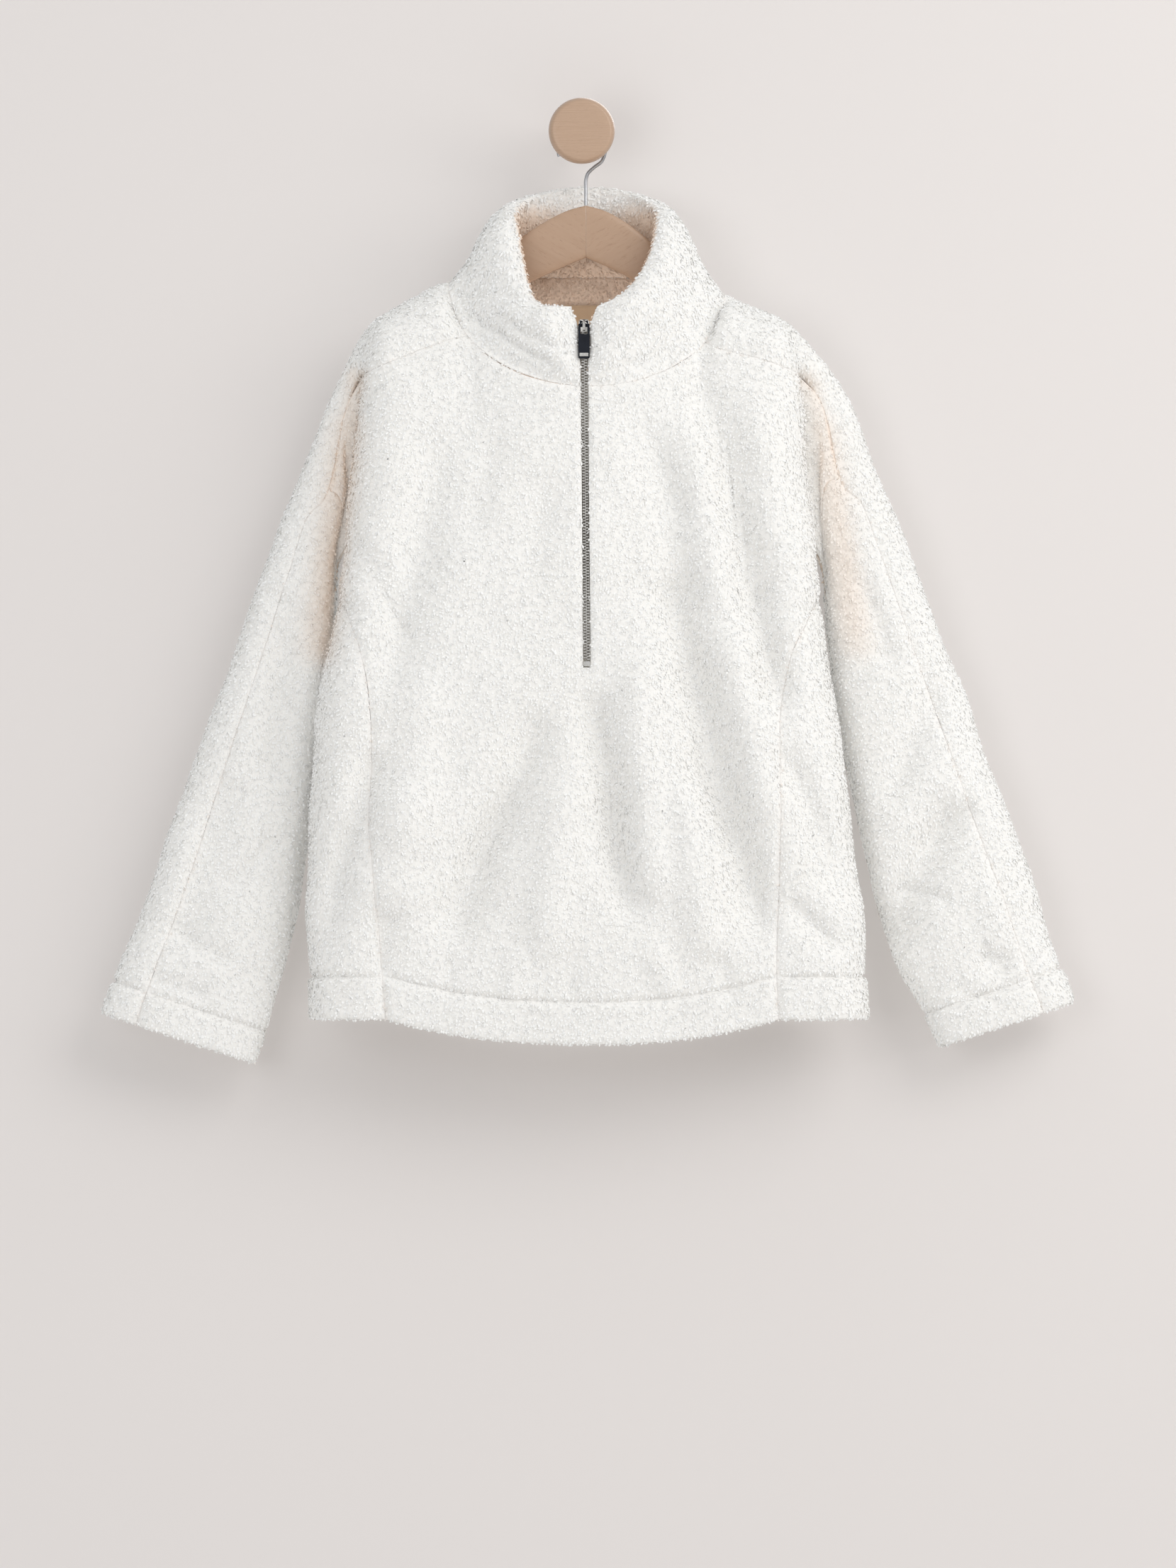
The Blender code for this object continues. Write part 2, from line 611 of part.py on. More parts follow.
class Cloth:
    """The garment's inner face: welded points, quads with a panel's name, and thicknesses."""

    def __init__(self):
        self.points = []
        self.index = {}
        self.faces = []
        self.names = []
        self.out = {}
        self.inner = {}
        self.crossings = set()

    def vertex(self, point):
        key = tuple(round(value, 3) for value in point)
        if key not in self.index:
            self.index[key] = len(self.points)
            self.points.append(Vector(point))
        return self.index[key]

    def patch(self, rows, name_of, closed=False):
        """Adds a grid of points. name_of(row, column) names the wall that each quad is in."""
        ids = [[self.vertex(point) for point in row] for row in rows]
        columns = len(ids[0]) if closed else len(ids[0]) - 1
        for row in range(len(ids) - 1):
            for column in range(columns):
                name = name_of(row, column)
                if name is None:
                    continue
                following = (column + 1) % len(ids[0])
                corners = [ids[row][column], ids[row + 1][column]]
                corners += [ids[row + 1][following], ids[row][following]]
                face = [v for i, v in enumerate(corners) if v != corners[i - 1]]
                if len(face) > 2:
                    self.faces.append(face)
                    self.names.append(name)
        return ids

    def finish(self):
        """Turns all faces outwards and keeps each point's normal."""
        mesh = bmesh.new()
        vertices = [mesh.verts.new(point) for point in self.points]
        faces = [mesh.faces.new([vertices[i] for i in face]) for face in self.faces]
        bmesh.ops.recalc_face_normals(mesh, faces=mesh.faces)
        mesh.normal_update()
        front = min(range(len(faces)), key=lambda i: faces[i].calc_center_median().y)
        if faces[front].normal.y > 0:
            bmesh.ops.reverse_faces(mesh, faces=mesh.faces)
            mesh.normal_update()
        mesh.verts.index_update()
        self.faces = [[v.index for v in face.verts] for face in faces]
        self.normals = [
            least_lean([face.normal.copy() for face in vertex.link_faces]) for vertex in vertices
        ]
        tree = BVHTree.FromBMesh(mesh)
        mesh.free()
        self.room = [self._room(tree, v) for v in range(len(self.points))]

    def _room(self, tree, v):
        """How thick the cloth may be at a point, so that facing layers share the space."""
        normal = self.normals[v]
        side = normal.orthogonal().normalized()
        other = normal.cross(side)
        least = FULL_ROOM
        for tilt in (Vector(), side * 0.5, -side * 0.5, other * 0.5, -other * 0.5):
            ray = (normal + tilt).normalized()
            hit = tree.ray_cast(self.points[v] + ray * 0.5, ray, FULL_ROOM)
            if hit[0] is not None:
                least = min(least, hit[3])
        return max(1.0, least * ROOM_SHARE) if least < FULL_ROOM else FULL_ROOM

    def edge_panels(self):
        """Each edge with the names of the walls on it."""
        found = {}
        for face, name in zip(self.faces, self.names):
            for i, v in enumerate(face):
                found.setdefault(frozenset((v, face[i - 1])), []).append(name)
        return found

    def split(self, face):
        """A quad as two triangles, along its shorter diagonal."""
        if len(face) < 4:
            return [face]
        a, b, c, d = face
        first = (self.points[a] - self.points[c]).length
        if first <= (self.points[b] - self.points[d]).length:
            return [[a, b, c], [a, c, d]]
        return [[a, b, d], [b, c, d]]

    def inset(self, border, normals):
        """How far each point on a seam moves in, square to the seam's edges."""
        found = {}
        for a, b in border:
            if len(set(self.panels_on[frozenset((a, b))])) > 1:
                along = self.points[b] - self.points[a]
                for v in (a, b):
                    found.setdefault(v, []).append(normals[(a, b)].cross(along).normalized())
        steps = {}
        for v, inward in found.items():
            total = sum(inward, Vector())
            meet = inward[0].dot(inward[-1]) if len(inward) > 1 else 1.0
            steps[v] = total * (SEAM_GAP / 2) * 2 / len(inward) / max(0.4, 1 + meet)
        return steps

    def pull_back(self, v, around):
        """Where the seams cross: how far a panel's corner stops short, and its own normal."""
        inward, sides = Vector(), []
        for face in around:
            a, b, c = (self.points[i] for i in face)
            inward += (a + b + c) / 3 - self.points[v]
            sides.append((b - a).cross(c - a).normalized())
        normal = least_lean(sides)
        inward -= normal * inward.dot(normal)
        return inward.normalized() * UNDERARM_GAP, normal

    def panel(self, name):
        """(points, faces) of a panel, or of a shorter wall of one, closed all round."""
        faces = [face for face, label in zip(self.faces, self.names) if label == name]
        faces = [part for face in faces for part in self.split(face)]
        border = {(face[i - 1], v) for face in faces for i, v in enumerate(face)}
        border = [(a, b) for a, b in sorted(border) if (b, a) not in border]
        normals = {}
        for a, b, c in faces:
            across = (self.points[b] - self.points[a]).cross(self.points[c] - self.points[a])
            for edge in ((a, b), (b, c), (c, a)):
                normals[edge] = across
        steps = self.inset(border, normals)
        own = {}
        for v in self.crossings:
            around = [face for face in faces if v in face]
            if around:
                steps[v], own[v] = self.pull_back(v, around)
        order = sorted({v for face in faces for v in face})
        place = {v: i for i, v in enumerate(order)}
        low, high = [], []
        for v in order:
            normal = own.get(v, self.normals[v])
            point = self.points[v] + steps.get(v, Vector())
            thick = SEAM if v in self.on_seam else self.out.get(v, FLEECE)
            if v in own:
                thick = UNDERARM_THICK
            low.append(point + normal * self.inner.get(v, 0.0))
            high.append(point + normal * min(thick, self.room[v]))
        count = len(order)
        walls = []
        for a, b in border:
            i, j = place[a], place[b]
            if a < b:
                walls += [[i, j, j + count], [i, j + count, i + count]]
            else:
                walls += [[i, j, i + count], [j, j + count, i + count]]
        inside = [[place[v] for v in reversed(face)] for face in faces]
        outside = [[place[v] + count for v in face] for face in faces]
        return low + high, inside + outside + walls


def sewn_piece(name):
    """The sewn piece that a wall is part of: its name without the wall's own word."""
    words = [word for word in name.split("_") if word not in SADDLE_WALLS + SLEEVE_WALLS]
    return "_".join(words)


def make_cloth():
    cloth = Cloth()
    fronts = {side: half_front(side) for side in (-1, 1)}
    backs = {side: half_back(side) for side in (-1, 1)}
    for side in (-1, 1):
        backs[side][UNDERARM_ROW][-1] = fronts[side][UNDERARM_ROW][-1].copy()
    tops = {side: saddle(side, fronts[side], backs[side]) for side in (-1, 1)}
    label = {-1: "left", 1: "right"}

    front = [fronts[-1][row][::-1] + fronts[1][row] for row in range(len(ROWS))]
    zip_column = NECK_STEPS + SHOULDER_STEPS

    def front_name(row, column):
        return None if column == zip_column and row < ZIP_END_ROW else "front_panel"

    front_ids = cloth.patch(front, front_name)
    back = [backs[-1][row][::-1] + backs[1][row][1:] for row in range(len(ROWS))]
    back_ids = cloth.patch(back, lambda row, column: "back_panel")
    hem_rows = [front_ids, back_ids]
    for side in (-1, 1):
        word = label[side]
        rows = side_panel(side, fronts[side], backs[side])
        ids = cloth.patch(rows, lambda row, column, word=word: "side_panel_" + word)
        hem_rows.append([None] * UNDERARM_ROW + ids)
        shoulder = f"saddle_{word}_{SADDLE_WALLS[0]}"
        cloth.patch(tops[side], lambda row, column, shoulder=shoulder: shoulder)
        rings = sleeve(side, fronts[side], backs[side], tops[side])

        def sleeve_name(row, column, word=word):
            if column >= 2 * UNDERARM_ROW:
                wall = SADDLE_WALLS[sum(row >= cut for cut in SADDLE_CUTS)]
                return f"saddle_{word}_{wall}"
            face = "front" if column < UNDERARM_ROW else "back"
            if row < ARMHOLE_RING:
                return face + "_panel"
            return f"sleeve_{face}_{word}_{SLEEVE_WALLS[sum(row >= cut for cut in SLEEVE_CUTS)]}"

        ids = cloth.patch(rings, sleeve_name, closed=True)
        cloth.crossings.add(ids[0][UNDERARM_ROW])
        for ring in range(CUFF_STITCH_RING, len(SLEEVE_RINGS)):
            for v in ids[ring]:
                cloth.out[v] = GROOVE if ring == CUFF_STITCH_RING else HEM
        for v in ids[-1]:
            cloth.out[v], cloth.inner[v] = HEM_EDGE, HEM_TUCK
    for ids in hem_rows:
        for row in range(STITCH_ROW, len(ROWS)):
            for v in ids[row]:
                cloth.out[v] = GROOVE if row == STITCH_ROW else HEM
        for v in ids[-1]:
            cloth.out[v], cloth.inner[v] = HEM_EDGE, HEM_TUCK
    for row in range(ZIP_END_ROW + 1):
        for column in (zip_column, zip_column + 1):
            cloth.out[front_ids[row][column]] = SLIT_EDGES[0]

    ring, degrees = [], []
    for side in (1, -1):
        part = [fronts[side][0][step] for step in range(NECK_STEPS + 1)]
        turns = [mix(0.5, SADDLE_START, step / NECK_STEPS) for step in range(NECK_STEPS + 1)]
        part += [tops[side][0][strip] for strip in range(1, SADDLE_STEPS)]
        turns += [
            mix(SADDLE_START, 180 - SADDLE_START, strip / SADDLE_STEPS)
            for strip in range(1, SADDLE_STEPS)
        ]
        part += [backs[side][0][step] for step in range(NECK_STEPS, -1, -1)]
        turns += [
            mix(180, 180 - SADDLE_START, step / NECK_STEPS)
            for step in range(NECK_STEPS, -1, -1)
        ]
        if side > 0:
            ring, degrees = part, turns
        else:
            ring = ring + part[-2::-1]
            degrees = degrees + [-turn for turn in turns[-2::-1]]
    rows = collar(ring, degrees)
    ids = cloth.patch(rows, lambda row, column: "collar")
    for row, row_ids in enumerate(ids):
        for column, v in enumerate(row_ids):
            edge = min(column, len(row_ids) - 1 - column)
            limit = SLIT_EDGES[edge] if edge < len(SLIT_EDGES) else FULL_ROOM
            cloth.out[v] = min(COLLAR_ROWS[row][2], limit)
    for v in ids[-1]:
        cloth.inner[v] = RIM_TUCK
    cloth.finish()
    cloth.panels_on = cloth.edge_panels()
    cloth.on_seam = {
        v for edge, names in cloth.panels_on.items()
        if len({sewn_piece(name) for name in names}) > 1 for v in edge
    }
    return cloth, fronts, rows, backs


# ---------------------------------------------------------------- making objects


def material(name, colour, roughness, metallic=0.0):
    made = bpy.data.materials.new(name)
    made.use_nodes = True
    shader = made.node_tree.nodes["Principled BSDF"]
    shader.inputs["Base Color"].default_value = (*colour, 1.0)
    shader.inputs["Roughness"].default_value = roughness
    shader.inputs["Metallic"].default_value = metallic
    made.diffuse_color = (*colour, 1.0)
    return made


def add_object(name, data, look):
    made = bpy.data.objects.new(name, data)
    made.data.materials.append(look)
    bpy.context.scene.collection.objects.link(made)
    return made


def volume(points, faces):
    """Signed volume inside the faces; positive when they face out."""
    total = 0.0
    for face in faces:
        a = points[face[0]]
        for i in range(1, len(face) - 1):
            total += a.dot(points[face[i]].cross(points[face[i + 1]])) / 6
    return total


def add_solid(name, points, faces, look, origin=Vector()):
    """An object from points in millimetres, its faces turned outwards, about its own origin."""
    if volume(points, faces) < 0:
        faces = [face[::-1] for face in faces]
    mesh = bpy.data.meshes.new(name)
    mesh.from_pydata([(point - origin) * MM for point in points], [], faces)
    mesh.update()
    mesh.shade_smooth()
    mesh.set_sharp_from_angle(angle=SHARP_ANGLE)
    add_object(name, mesh, look).location = origin * MM


def loft(rings):
    """(points, faces) of a closed body through rings of equal count, capped at both ends."""
    count = len(rings[0])
    points = [point for ring in rings for point in ring]
    faces = [list(range(count))[::-1]]
    for ring in range(len(rings) - 1):
        start = ring * count
        for i in range(count):
            j = (i + 1) % count
            faces.append([start + i, start + j, start + j + count, start + i + count])
    faces.append([len(points) - count + i for i in range(count)])
    return points, faces


def turned(profile, segments):
    """(points, faces) of a body turned about the Y axis. profile holds (radius, y), front last."""
    rings = []
    for radius, y in profile:
        ring = []
        for i in range(segments):
            turn = 2 * math.pi * i / segments
            ring.append(Vector((radius * math.cos(turn), y, radius * math.sin(turn))))
        rings.append(ring)
    return loft(rings)


def strip_on(lines, back, front):
    """(points, faces) of a band lying on rows of points, between two offsets towards -Y."""
    rings = []
    for line in lines:
        near = [Vector((p.x, p.y - front, p.z)) for p in line]
        far = [Vector((p.x, p.y - back, p.z)) for p in reversed(line)]
        rings.append(near + far)
    return loft(rings)


def box_ring(middle, up, hx, hy, chamfer):
    """One eight-sided ring in the XY plane, some way up from a middle."""
    outline = (
        (-hx, -hy + chamfer), (-hx + chamfer, -hy), (hx - chamfer, -hy), (hx, -hy + chamfer),
        (hx, hy - chamfer), (hx - chamfer, hy), (-hx + chamfer, hy), (-hx, hy - chamfer),
    )
    return [middle + Vector((dx, dy, up)) for dx, dy in outline]


# ---------------------------------------------------------------- hardware


def add_peg(wood, steel):
    edge = PEG_EDGE
    front, back = PEG_DISC
    disc = (
        (PEG_RADIUS - edge, back), (PEG_RADIUS - 1, back - 1), (PEG_RADIUS, back - edge),
        (PEG_RADIUS, front + edge), (PEG_RADIUS - 1, front + 1), (PEG_RADIUS - edge, front),
    )
    add_solid("peg_disc", *turned(disc, 40), wood)
    stem = (
        (FOOT_RADIUS, 0.0), (FOOT_RADIUS, 1 - FOOT_DEPTH), (FOOT_RADIUS - 1, -FOOT_DEPTH),
        (STEM_RADIUS, -FOOT_DEPTH), (STEM_RADIUS, back + CLEAR),
    )
    add_solid("peg_stem", *turned(stem, 20), steel)


def add_hanger(wood, steel):
    """Two arms mitred at the middle, and the hook over the peg's stem."""
    for side, word in ((-1, "left"), (1, "right")):
        rings = []
        for out, left, right, height, half in HANGER:
            ring = []
            top = left if side < 0 else right
            outline = list(ARM_OUTLINE) + [(-a, b) for a, b in ARM_OUTLINE[:0:-1]]
            for across, down in outline:
                ring.append(
                    Vector((HANGER_X + side * out, CREST_Y - across * half, top - down * height))
                )
            rings.append(ring)
        add_solid("hanger_arm_" + word, *loft(rings), wood)

    top = STEM_RADIUS + CLEAR + HOOK_WIRE
    centre = top - HOOK_RADIUS
    route = [(HANGER_X, HANGER[0][1] + CLEAR)]
    route += [(HANGER_X + out, z) for out, z in HOOK_SHANK]
    for degrees in range(*HOOK_TURN):
        turn = math.radians(degrees)
        route.append((HOOK_RADIUS * math.cos(turn), centre + HOOK_RADIUS * math.sin(turn)))
    curve = bpy.data.curves.new("hanger_hook", "CURVE")
    curve.dimensions = "3D"
    curve.bevel_depth = HOOK_WIRE * MM
    curve.bevel_resolution = 2
    curve.use_fill_caps = True
    spline = curve.splines.new("POLY")
    spline.points.add(len(route) - 1)
    for point, (x, z) in zip(spline.points, route):
        point.co = (x * MM, CREST_Y * MM, z * MM, 1)
    add_object("hanger_hook", curve, steel)


def centre_line(fronts, collar_rows):
    """The zip's own line on the inner face, from the rim down. Each entry holds the slit's left
    and right edge between the next columns out."""
    pairs = []
    for row in range(len(collar_rows) - 1, 0, -1):
        line = collar_rows[row]
        pairs.append((line[-2], line[-1], line[0], line[1]))
    for row in range(ZIP_END_ROW + 1):
        left, right = fronts[-1][row], fronts[1][row]
        pairs.append((left[1], left[0], right[0], right[1]))
    return pairs


def across_zip(pair, half):
    """Four points of the slit's facets, the outer two at a half width."""
    far_left, left, right, far_right = pair
    middle = (left.x + right.x) / 2
    points = []
    for near, far, side in ((left, far_left, -1), (right, far_right, 1)):
        share = (half - abs(near.x - middle)) / abs(far.x - near.x)
        points.append(near.lerp(far, share))
    return [points[0], left, right, points[1]]


def add_zip(fronts, collar_rows, cotton, steel, dark):
    pairs = centre_line(fronts, collar_rows)
    closed = [pair for pair in pairs if pair[1].z < SLIDER_TOP]
    tape = [across_zip(pair, TAPE_HALF) for pair in closed]
    add_solid("zip_tape", *strip_on(tape, *TAPE), cotton)

    def on_line(z):
        """The middle of the slit at a height, on the inner face."""
        heights = [pair[1].z for pair in pairs][::-1]
        depths = [(pair[1].y + pair[2].y) / 2 for pair in pairs][::-1]
        return Vector((zip_x(z), float(np.interp(z, heights, depths)), z))

    slider_low = SLIDER_TOP - SLIDER_HEIGHT
    end = ROWS[ZIP_END_ROW][0]
    stations = [slider_low - CLEAR] + [pair[1].z for pair in closed if pair[1].z < slider_low - 4]
    stations[-1] = end + CHAIN_LOW
    lines = []
    for z in stations:
        middle = on_line(z)
        shoulder = Vector((CHAIN_HALF, 0, 0))
        lines.append([middle - shoulder, middle, middle + shoulder])
    add_solid("zip_chain", *strip_on(lines, *CHAIN), steel)
    forward, up = STOP_MIDDLE
    half_x, half_y, half_z = STOP_HALF
    stop = on_line(end + up)
    stop.y -= forward
    rings = [box_ring(stop, dz, half_x, half_y, 0.6) for dz in (-half_z, half_z)]
    add_solid("zip_bottom_stop", *loft(rings), steel)

    # Slider: a waisted body, and a bridge that the pull's top bar runs under.
    place = on_line(SLIDER_TOP)
    body = Vector((place.x, place.y - SLIDER_MIDDLE, slider_low))
    rings = [box_ring(body, up, half, SLIDER_HALF_DEPTH, 0.9) for up, half in SLIDER_WAIST]
    add_solid("zip_slider", *loft(rings), steel)
    front = body.y - SLIDER_HALF_DEPTH
    feet, crown = front - CLEAR, front - BRIDGE_RISE
    low, high = slider_low + BRIDGE_INSET[0], SLIDER_TOP - BRIDGE_INSET[1]
    bar = BRIDGE_BAR
    arch = (
        (low, feet, low + bar, feet), (low, crown, low + bar, crown + bar),
        (high, crown, high - bar, crown + bar), (high, feet, high - bar, feet),
    )
    rings = []
    for z0, y0, z1, y1 in arch:
        left, right = place.x - BRIDGE_HALF, place.x + BRIDGE_HALF
        ring = ((left, y0, z0), (right, y0, z0), (right, y1, z1), (left, y1, z1))
        rings.append([Vector(point) for point in ring])
    add_solid("zip_bridge", *loft(rings), steel)

    forward, down = HINGE
    hinge = Vector((place.x, front - forward, SLIDER_TOP - down))
    add_pull_plate(hinge, dark)
    add_pull_end(hinge, steel)


def add_pull_plate(hinge, dark):
    """The pull's plate: a ring round the window at the top, solid below. Its top bar hangs in
    the slider's bridge and turns there, so the piece has its origin on that bar."""
    top = hinge.z + PULL_BAR
    low = top - PULL_LENGTH
    corner = PULL_CORNER
    outer = [
        (-PULL_HALF + corner, top), (-PULL_HALF, top - corner), (-PULL_HALF, low + corner),
        (-PULL_HALF + corner, low), (PULL_HALF - corner, low), (PULL_HALF, low + corner),
        (PULL_HALF, top - corner), (PULL_HALF - corner, top),
    ]
    high = hinge.z - PULL_BAR
    sill = high - WINDOW_LENGTH
    corner = WINDOW_CORNER
    inner = [
        (-WINDOW_HALF, high), (-WINDOW_HALF, high - corner), (-WINDOW_HALF, sill + corner),
        (-WINDOW_HALF, sill), (WINDOW_HALF, sill), (WINDOW_HALF, sill + corner),
        (WINDOW_HALF, high - corner), (WINDOW_HALF, high),
    ]
    points, faces = [], []
    for outline in (outer, inner):
        for y in (hinge.y - PULL_THICK / 2, hinge.y + PULL_THICK / 2):
            points += [Vector((hinge.x + x, y, z)) for x, z in outline]
    count = len(outer)
    front_out, back_out, front_in, back_in = 0, count, 2 * count, 3 * count
    for i in range(count):
        j = (i + 1) % count
        faces.append([front_out + i, front_out + j, front_in + j, front_in + i])
        faces.append([back_out + j, back_out + i, back_in + i, back_in + j])
        faces.append([front_out + j, front_out + i, back_out + i, back_out + j])
        faces.append([front_in + i, front_in + j, back_in + j, back_in + i])
    add_solid("pull_plate", points, faces, dark, hinge)


def add_pull_end(hinge, steel):
    """The bright end plate, set on the pull's face."""
    half = END_THICK / 2
    foot = Vector((hinge.x, hinge.y - PULL_THICK / 2 - END_CLEAR - half, hinge.z))
    low = END_FOOT - PULL_LENGTH
    rings = [box_ring(foot, up, END_HALF, half, 0.2) for up in (low, low + END_HEIGHT)]
    add_solid("pull_end_plate", *loft(rings), steel, hinge)


def add_label(backs, tape):
    """The plain neck label, on the back panel's inner face."""
    lines = []
    for place in LABEL_PLACES:
        low = int(place)
        upper, lower = (
            backs[-1][row][LABEL_COLUMNS:0:-1] + backs[1][row][:LABEL_COLUMNS + 1]
            for row in (low, low + 1)
        )
        lines.append([a.lerp(b, place - low) for a, b in zip(upper, lower)])
    add_solid("neck_label", *strip_on(lines, *LABEL), tape)


def build():
    for old in list(bpy.data.objects):
        bpy.data.objects.remove(old)
    fleece = material("cream_sherpa", (0.90, 0.885, 0.85), 0.95)
    beech = material("beech", (0.74, 0.56, 0.40), 0.45)
    steel = material("bright_steel", (0.62, 0.62, 0.62), 0.3, 1.0)
    dark = material("dark_enamel", (0.02, 0.024, 0.035), 0.35)
    cotton = material("cotton_tape", (0.78, 0.74, 0.66), 0.9)
    tan = material("tan_ribbon", (0.62, 0.47, 0.33), 0.8)

    cloth, fronts, collar_rows, backs = make_cloth()
    for name in dict.fromkeys(cloth.names):
        add_solid(name, *cloth.panel(name), fleece)
    add_peg(beech, steel)
    add_hanger(beech, steel)
    add_zip(fronts, collar_rows, cotton, steel, dark)
    add_label(backs, tan)


build()
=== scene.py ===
# %% [markdown]
# A pullover of high-pile sherpa fleece hangs on a two-arm beech hanger, and the hanger's wire hook
# hangs on a turned wall peg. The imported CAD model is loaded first: it is the fixed frame that
# every piece below has to fit. All the tables are in millimetres, and the meshes in metres.

import math

import bpy
import numpy as np
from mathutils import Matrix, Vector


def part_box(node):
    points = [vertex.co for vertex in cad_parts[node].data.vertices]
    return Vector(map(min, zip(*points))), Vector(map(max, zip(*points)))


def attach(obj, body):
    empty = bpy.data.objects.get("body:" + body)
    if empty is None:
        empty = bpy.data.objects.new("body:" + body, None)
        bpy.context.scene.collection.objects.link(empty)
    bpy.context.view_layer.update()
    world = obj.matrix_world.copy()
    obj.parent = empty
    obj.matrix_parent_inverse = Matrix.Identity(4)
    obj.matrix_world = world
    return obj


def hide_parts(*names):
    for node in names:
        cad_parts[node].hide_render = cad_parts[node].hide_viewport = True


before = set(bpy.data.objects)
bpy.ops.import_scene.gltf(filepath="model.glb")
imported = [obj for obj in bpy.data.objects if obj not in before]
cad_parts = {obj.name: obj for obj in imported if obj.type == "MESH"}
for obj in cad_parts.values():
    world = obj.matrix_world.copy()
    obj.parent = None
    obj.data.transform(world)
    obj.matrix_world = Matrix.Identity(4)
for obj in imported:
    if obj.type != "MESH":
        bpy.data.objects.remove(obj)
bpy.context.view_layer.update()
MM = 0.001
SIDES = {-1: "left", 1: "right"}
BODY_NAME = "garment"
PULL_NAME = "zip_pull"

# %% [markdown]
# Cloth is worked out as whole arrays. A coarse net of points is read from section tables, and a
# finer one is run through it along smooth curves. These few helpers are all that it takes: a
# soft step, a table that is read between its rows, unit vectors, and the curve itself.

# %% Helpers for arrays


def mix(a, b, share):
    """a at share 0, b at share 1."""
    return a + (b - a) * share


def smooth(share):
    """A soft step from 0 to 1: three times the square less twice the cube."""
    share = np.clip(share, 0.0, 1.0)
    return share * share * (3 - 2 * share)


def look(table, key, column=1):
    """A table's column at a key, in straight lines between the rows."""
    rows = np.asarray(table, float)
    rows = rows[np.argsort(rows[:, 0])]
    return np.interp(key, rows[:, 0], rows[:, column])


def unit(vectors):
    """Each vector divided by its length."""
    length = np.linalg.norm(vectors, axis=-1, keepdims=True)
    return vectors / np.maximum(length, 1e-9)


def glide(net, knots, at, closed=False):
    """A smooth curve through the net's first axis: a cubic between two rows, whose slope at a row
    is that of the parabola through it and its two neighbours."""
    knots = np.asarray(knots, float)
    if closed:
        span = knots[-1]
        knots = np.concatenate([[knots[-2] - span], knots, [knots[1] + span]])
        net = np.concatenate([net[-1:], net, net[:2]])
    gaps = np.diff(knots)
    shape = (-1,) + (1,) * (net.ndim - 1)
    chords = np.diff(net, axis=0) / gaps.reshape(shape)
    before, after = gaps[:-1].reshape(shape), gaps[1:].reshape(shape)
    inner = (chords[:-1] * after + chords[1:] * before) / (before + after)
    slopes = np.concatenate([chords[:1], inner, chords[-1:]])
    index = np.clip(np.searchsorted(knots, at, side="right") - 1, 0, len(knots) - 2)
    width = gaps[index].reshape(shape)
    t = ((at - knots[index]) / gaps[index]).reshape(shape)
    near, far = net[index], net[index + 1]
    rise = slopes[index] * width * t * (1 - t) ** 2 - slopes[index + 1] * width * t * t * (1 - t)
    return mix(near, far, t * t * (3 - 2 * t)) + rise


CROWD = np.array((0.0, 1.3, 3.0, 5.5, 9.0))     # how far from an end or a stop rows stand
LEAST_GAP = 0.5         # a row nearer than this to the one before is left out


def stations(knots, step, stops=()):
    """Places along a knot line: one about every step, and closer ones by the ends and stops."""
    low, high = knots[0], knots[-1]
    places = low + (high - low) * np.linspace(0, 1, max(2, round((high - low) / step)))
    close = [low + CROWD, high - CROWD]
    for stop in stops:
        close += [stop + CROWD[:-1], stop - CROWD[:-1]]
    near = np.concatenate(close)
    keep = places[np.min(np.abs(places[:, None] - near[None]), axis=1) > step * 0.45]
    every = np.concatenate([keep, near, [low, high]])
    every = np.sort(every[(every >= low) & (every <= high)])
    return every[np.concatenate([[True], np.diff(every) > LEAST_GAP])]


# %% [markdown]
# The torso is a flattened tube. Its section at each height has a flat front, a quarter turn at
# the side and a slanting rear corner, and a number called the way runs round it: 0 at the middle
# front, 1 at the fold, 2 at the rear corner and 3 at the middle back. The seams are kept as ways
# too, so a panel is the part of the tube between two of them.

# %% Tables of the torso
BODY = (
    # height, left x, right x, front y, back y, fold radius, rear inset
    (-170, -184, 184, -86, -24, 26, 6),
    (-205, -185, 183, -97, -18, 30, 8),
    (-260, -190, 187, -104, -15, 33, 14),
    (-310, -194, 190, -107, -14, 34, 26),
    (-400, -202, 197, -110, -14, 36, 50),
    (-480, -219, 210, -112, -14, 36, 66),
    (-560, -226, 221, -111, -15, 35, 70),
    (-650, -229, 234, -107, -17, 34, 68),
    (-775, -226, 240, -99, -20, 32, 58),
)
ROWS = np.array((
    (-217, -206), (-231, -219), (-250, -237), (-274, -261), (-301, -289), (-329, -318),
    (-357, -346), (-380, -368), (-403, -390), (-427, -412), (-454, -437), (-484, -466),
    (-515, -497), (-546, -528), (-577, -558), (-609, -590), (-641, -621), (-673, -653),
    (-705, -684), (-735, -714), (-740, -719), (-757, -736), (-771, -750),
), float)
ROW_COUNT = len(ROWS)
FRONT_CROWN = 5.0       # how far the front stands out beside the zip
SLANT_POWER = 1.8       # of the cosine that draws the rear corner in
ROW_POWER = 2.2         # of the share by which a row's height goes from middle to side
COLUMN_POWER = 1.2      # crowds the outer columns a little
UNDERARM_ROW = 6
ZIP_END_ROW = 10
STITCH_ROW = 19
UNDERARM_PULL = ((5, 1.0), (6, 3.0))
UNDERARM_WAYS = ((6, 1.22, 1.22), (7, 1.16, 1.5), (8, 1.07, 1.76))      # row, front, back
ARMHOLE_WAYS = (1.1, 1.9)               # where the front and back end at the shoulder
FRONT_SEAM = (
    (-412, 195.5, 190), (-441, 186, 177), (-465, 181, 171.5), (-497, 177.5, 166.5),
    (-544, 176, 166.5), (-580, 178, 167), (-645, 173.5, 166.5), (-705, 168.5, 163.5),
    (-751, 165, 166),
)
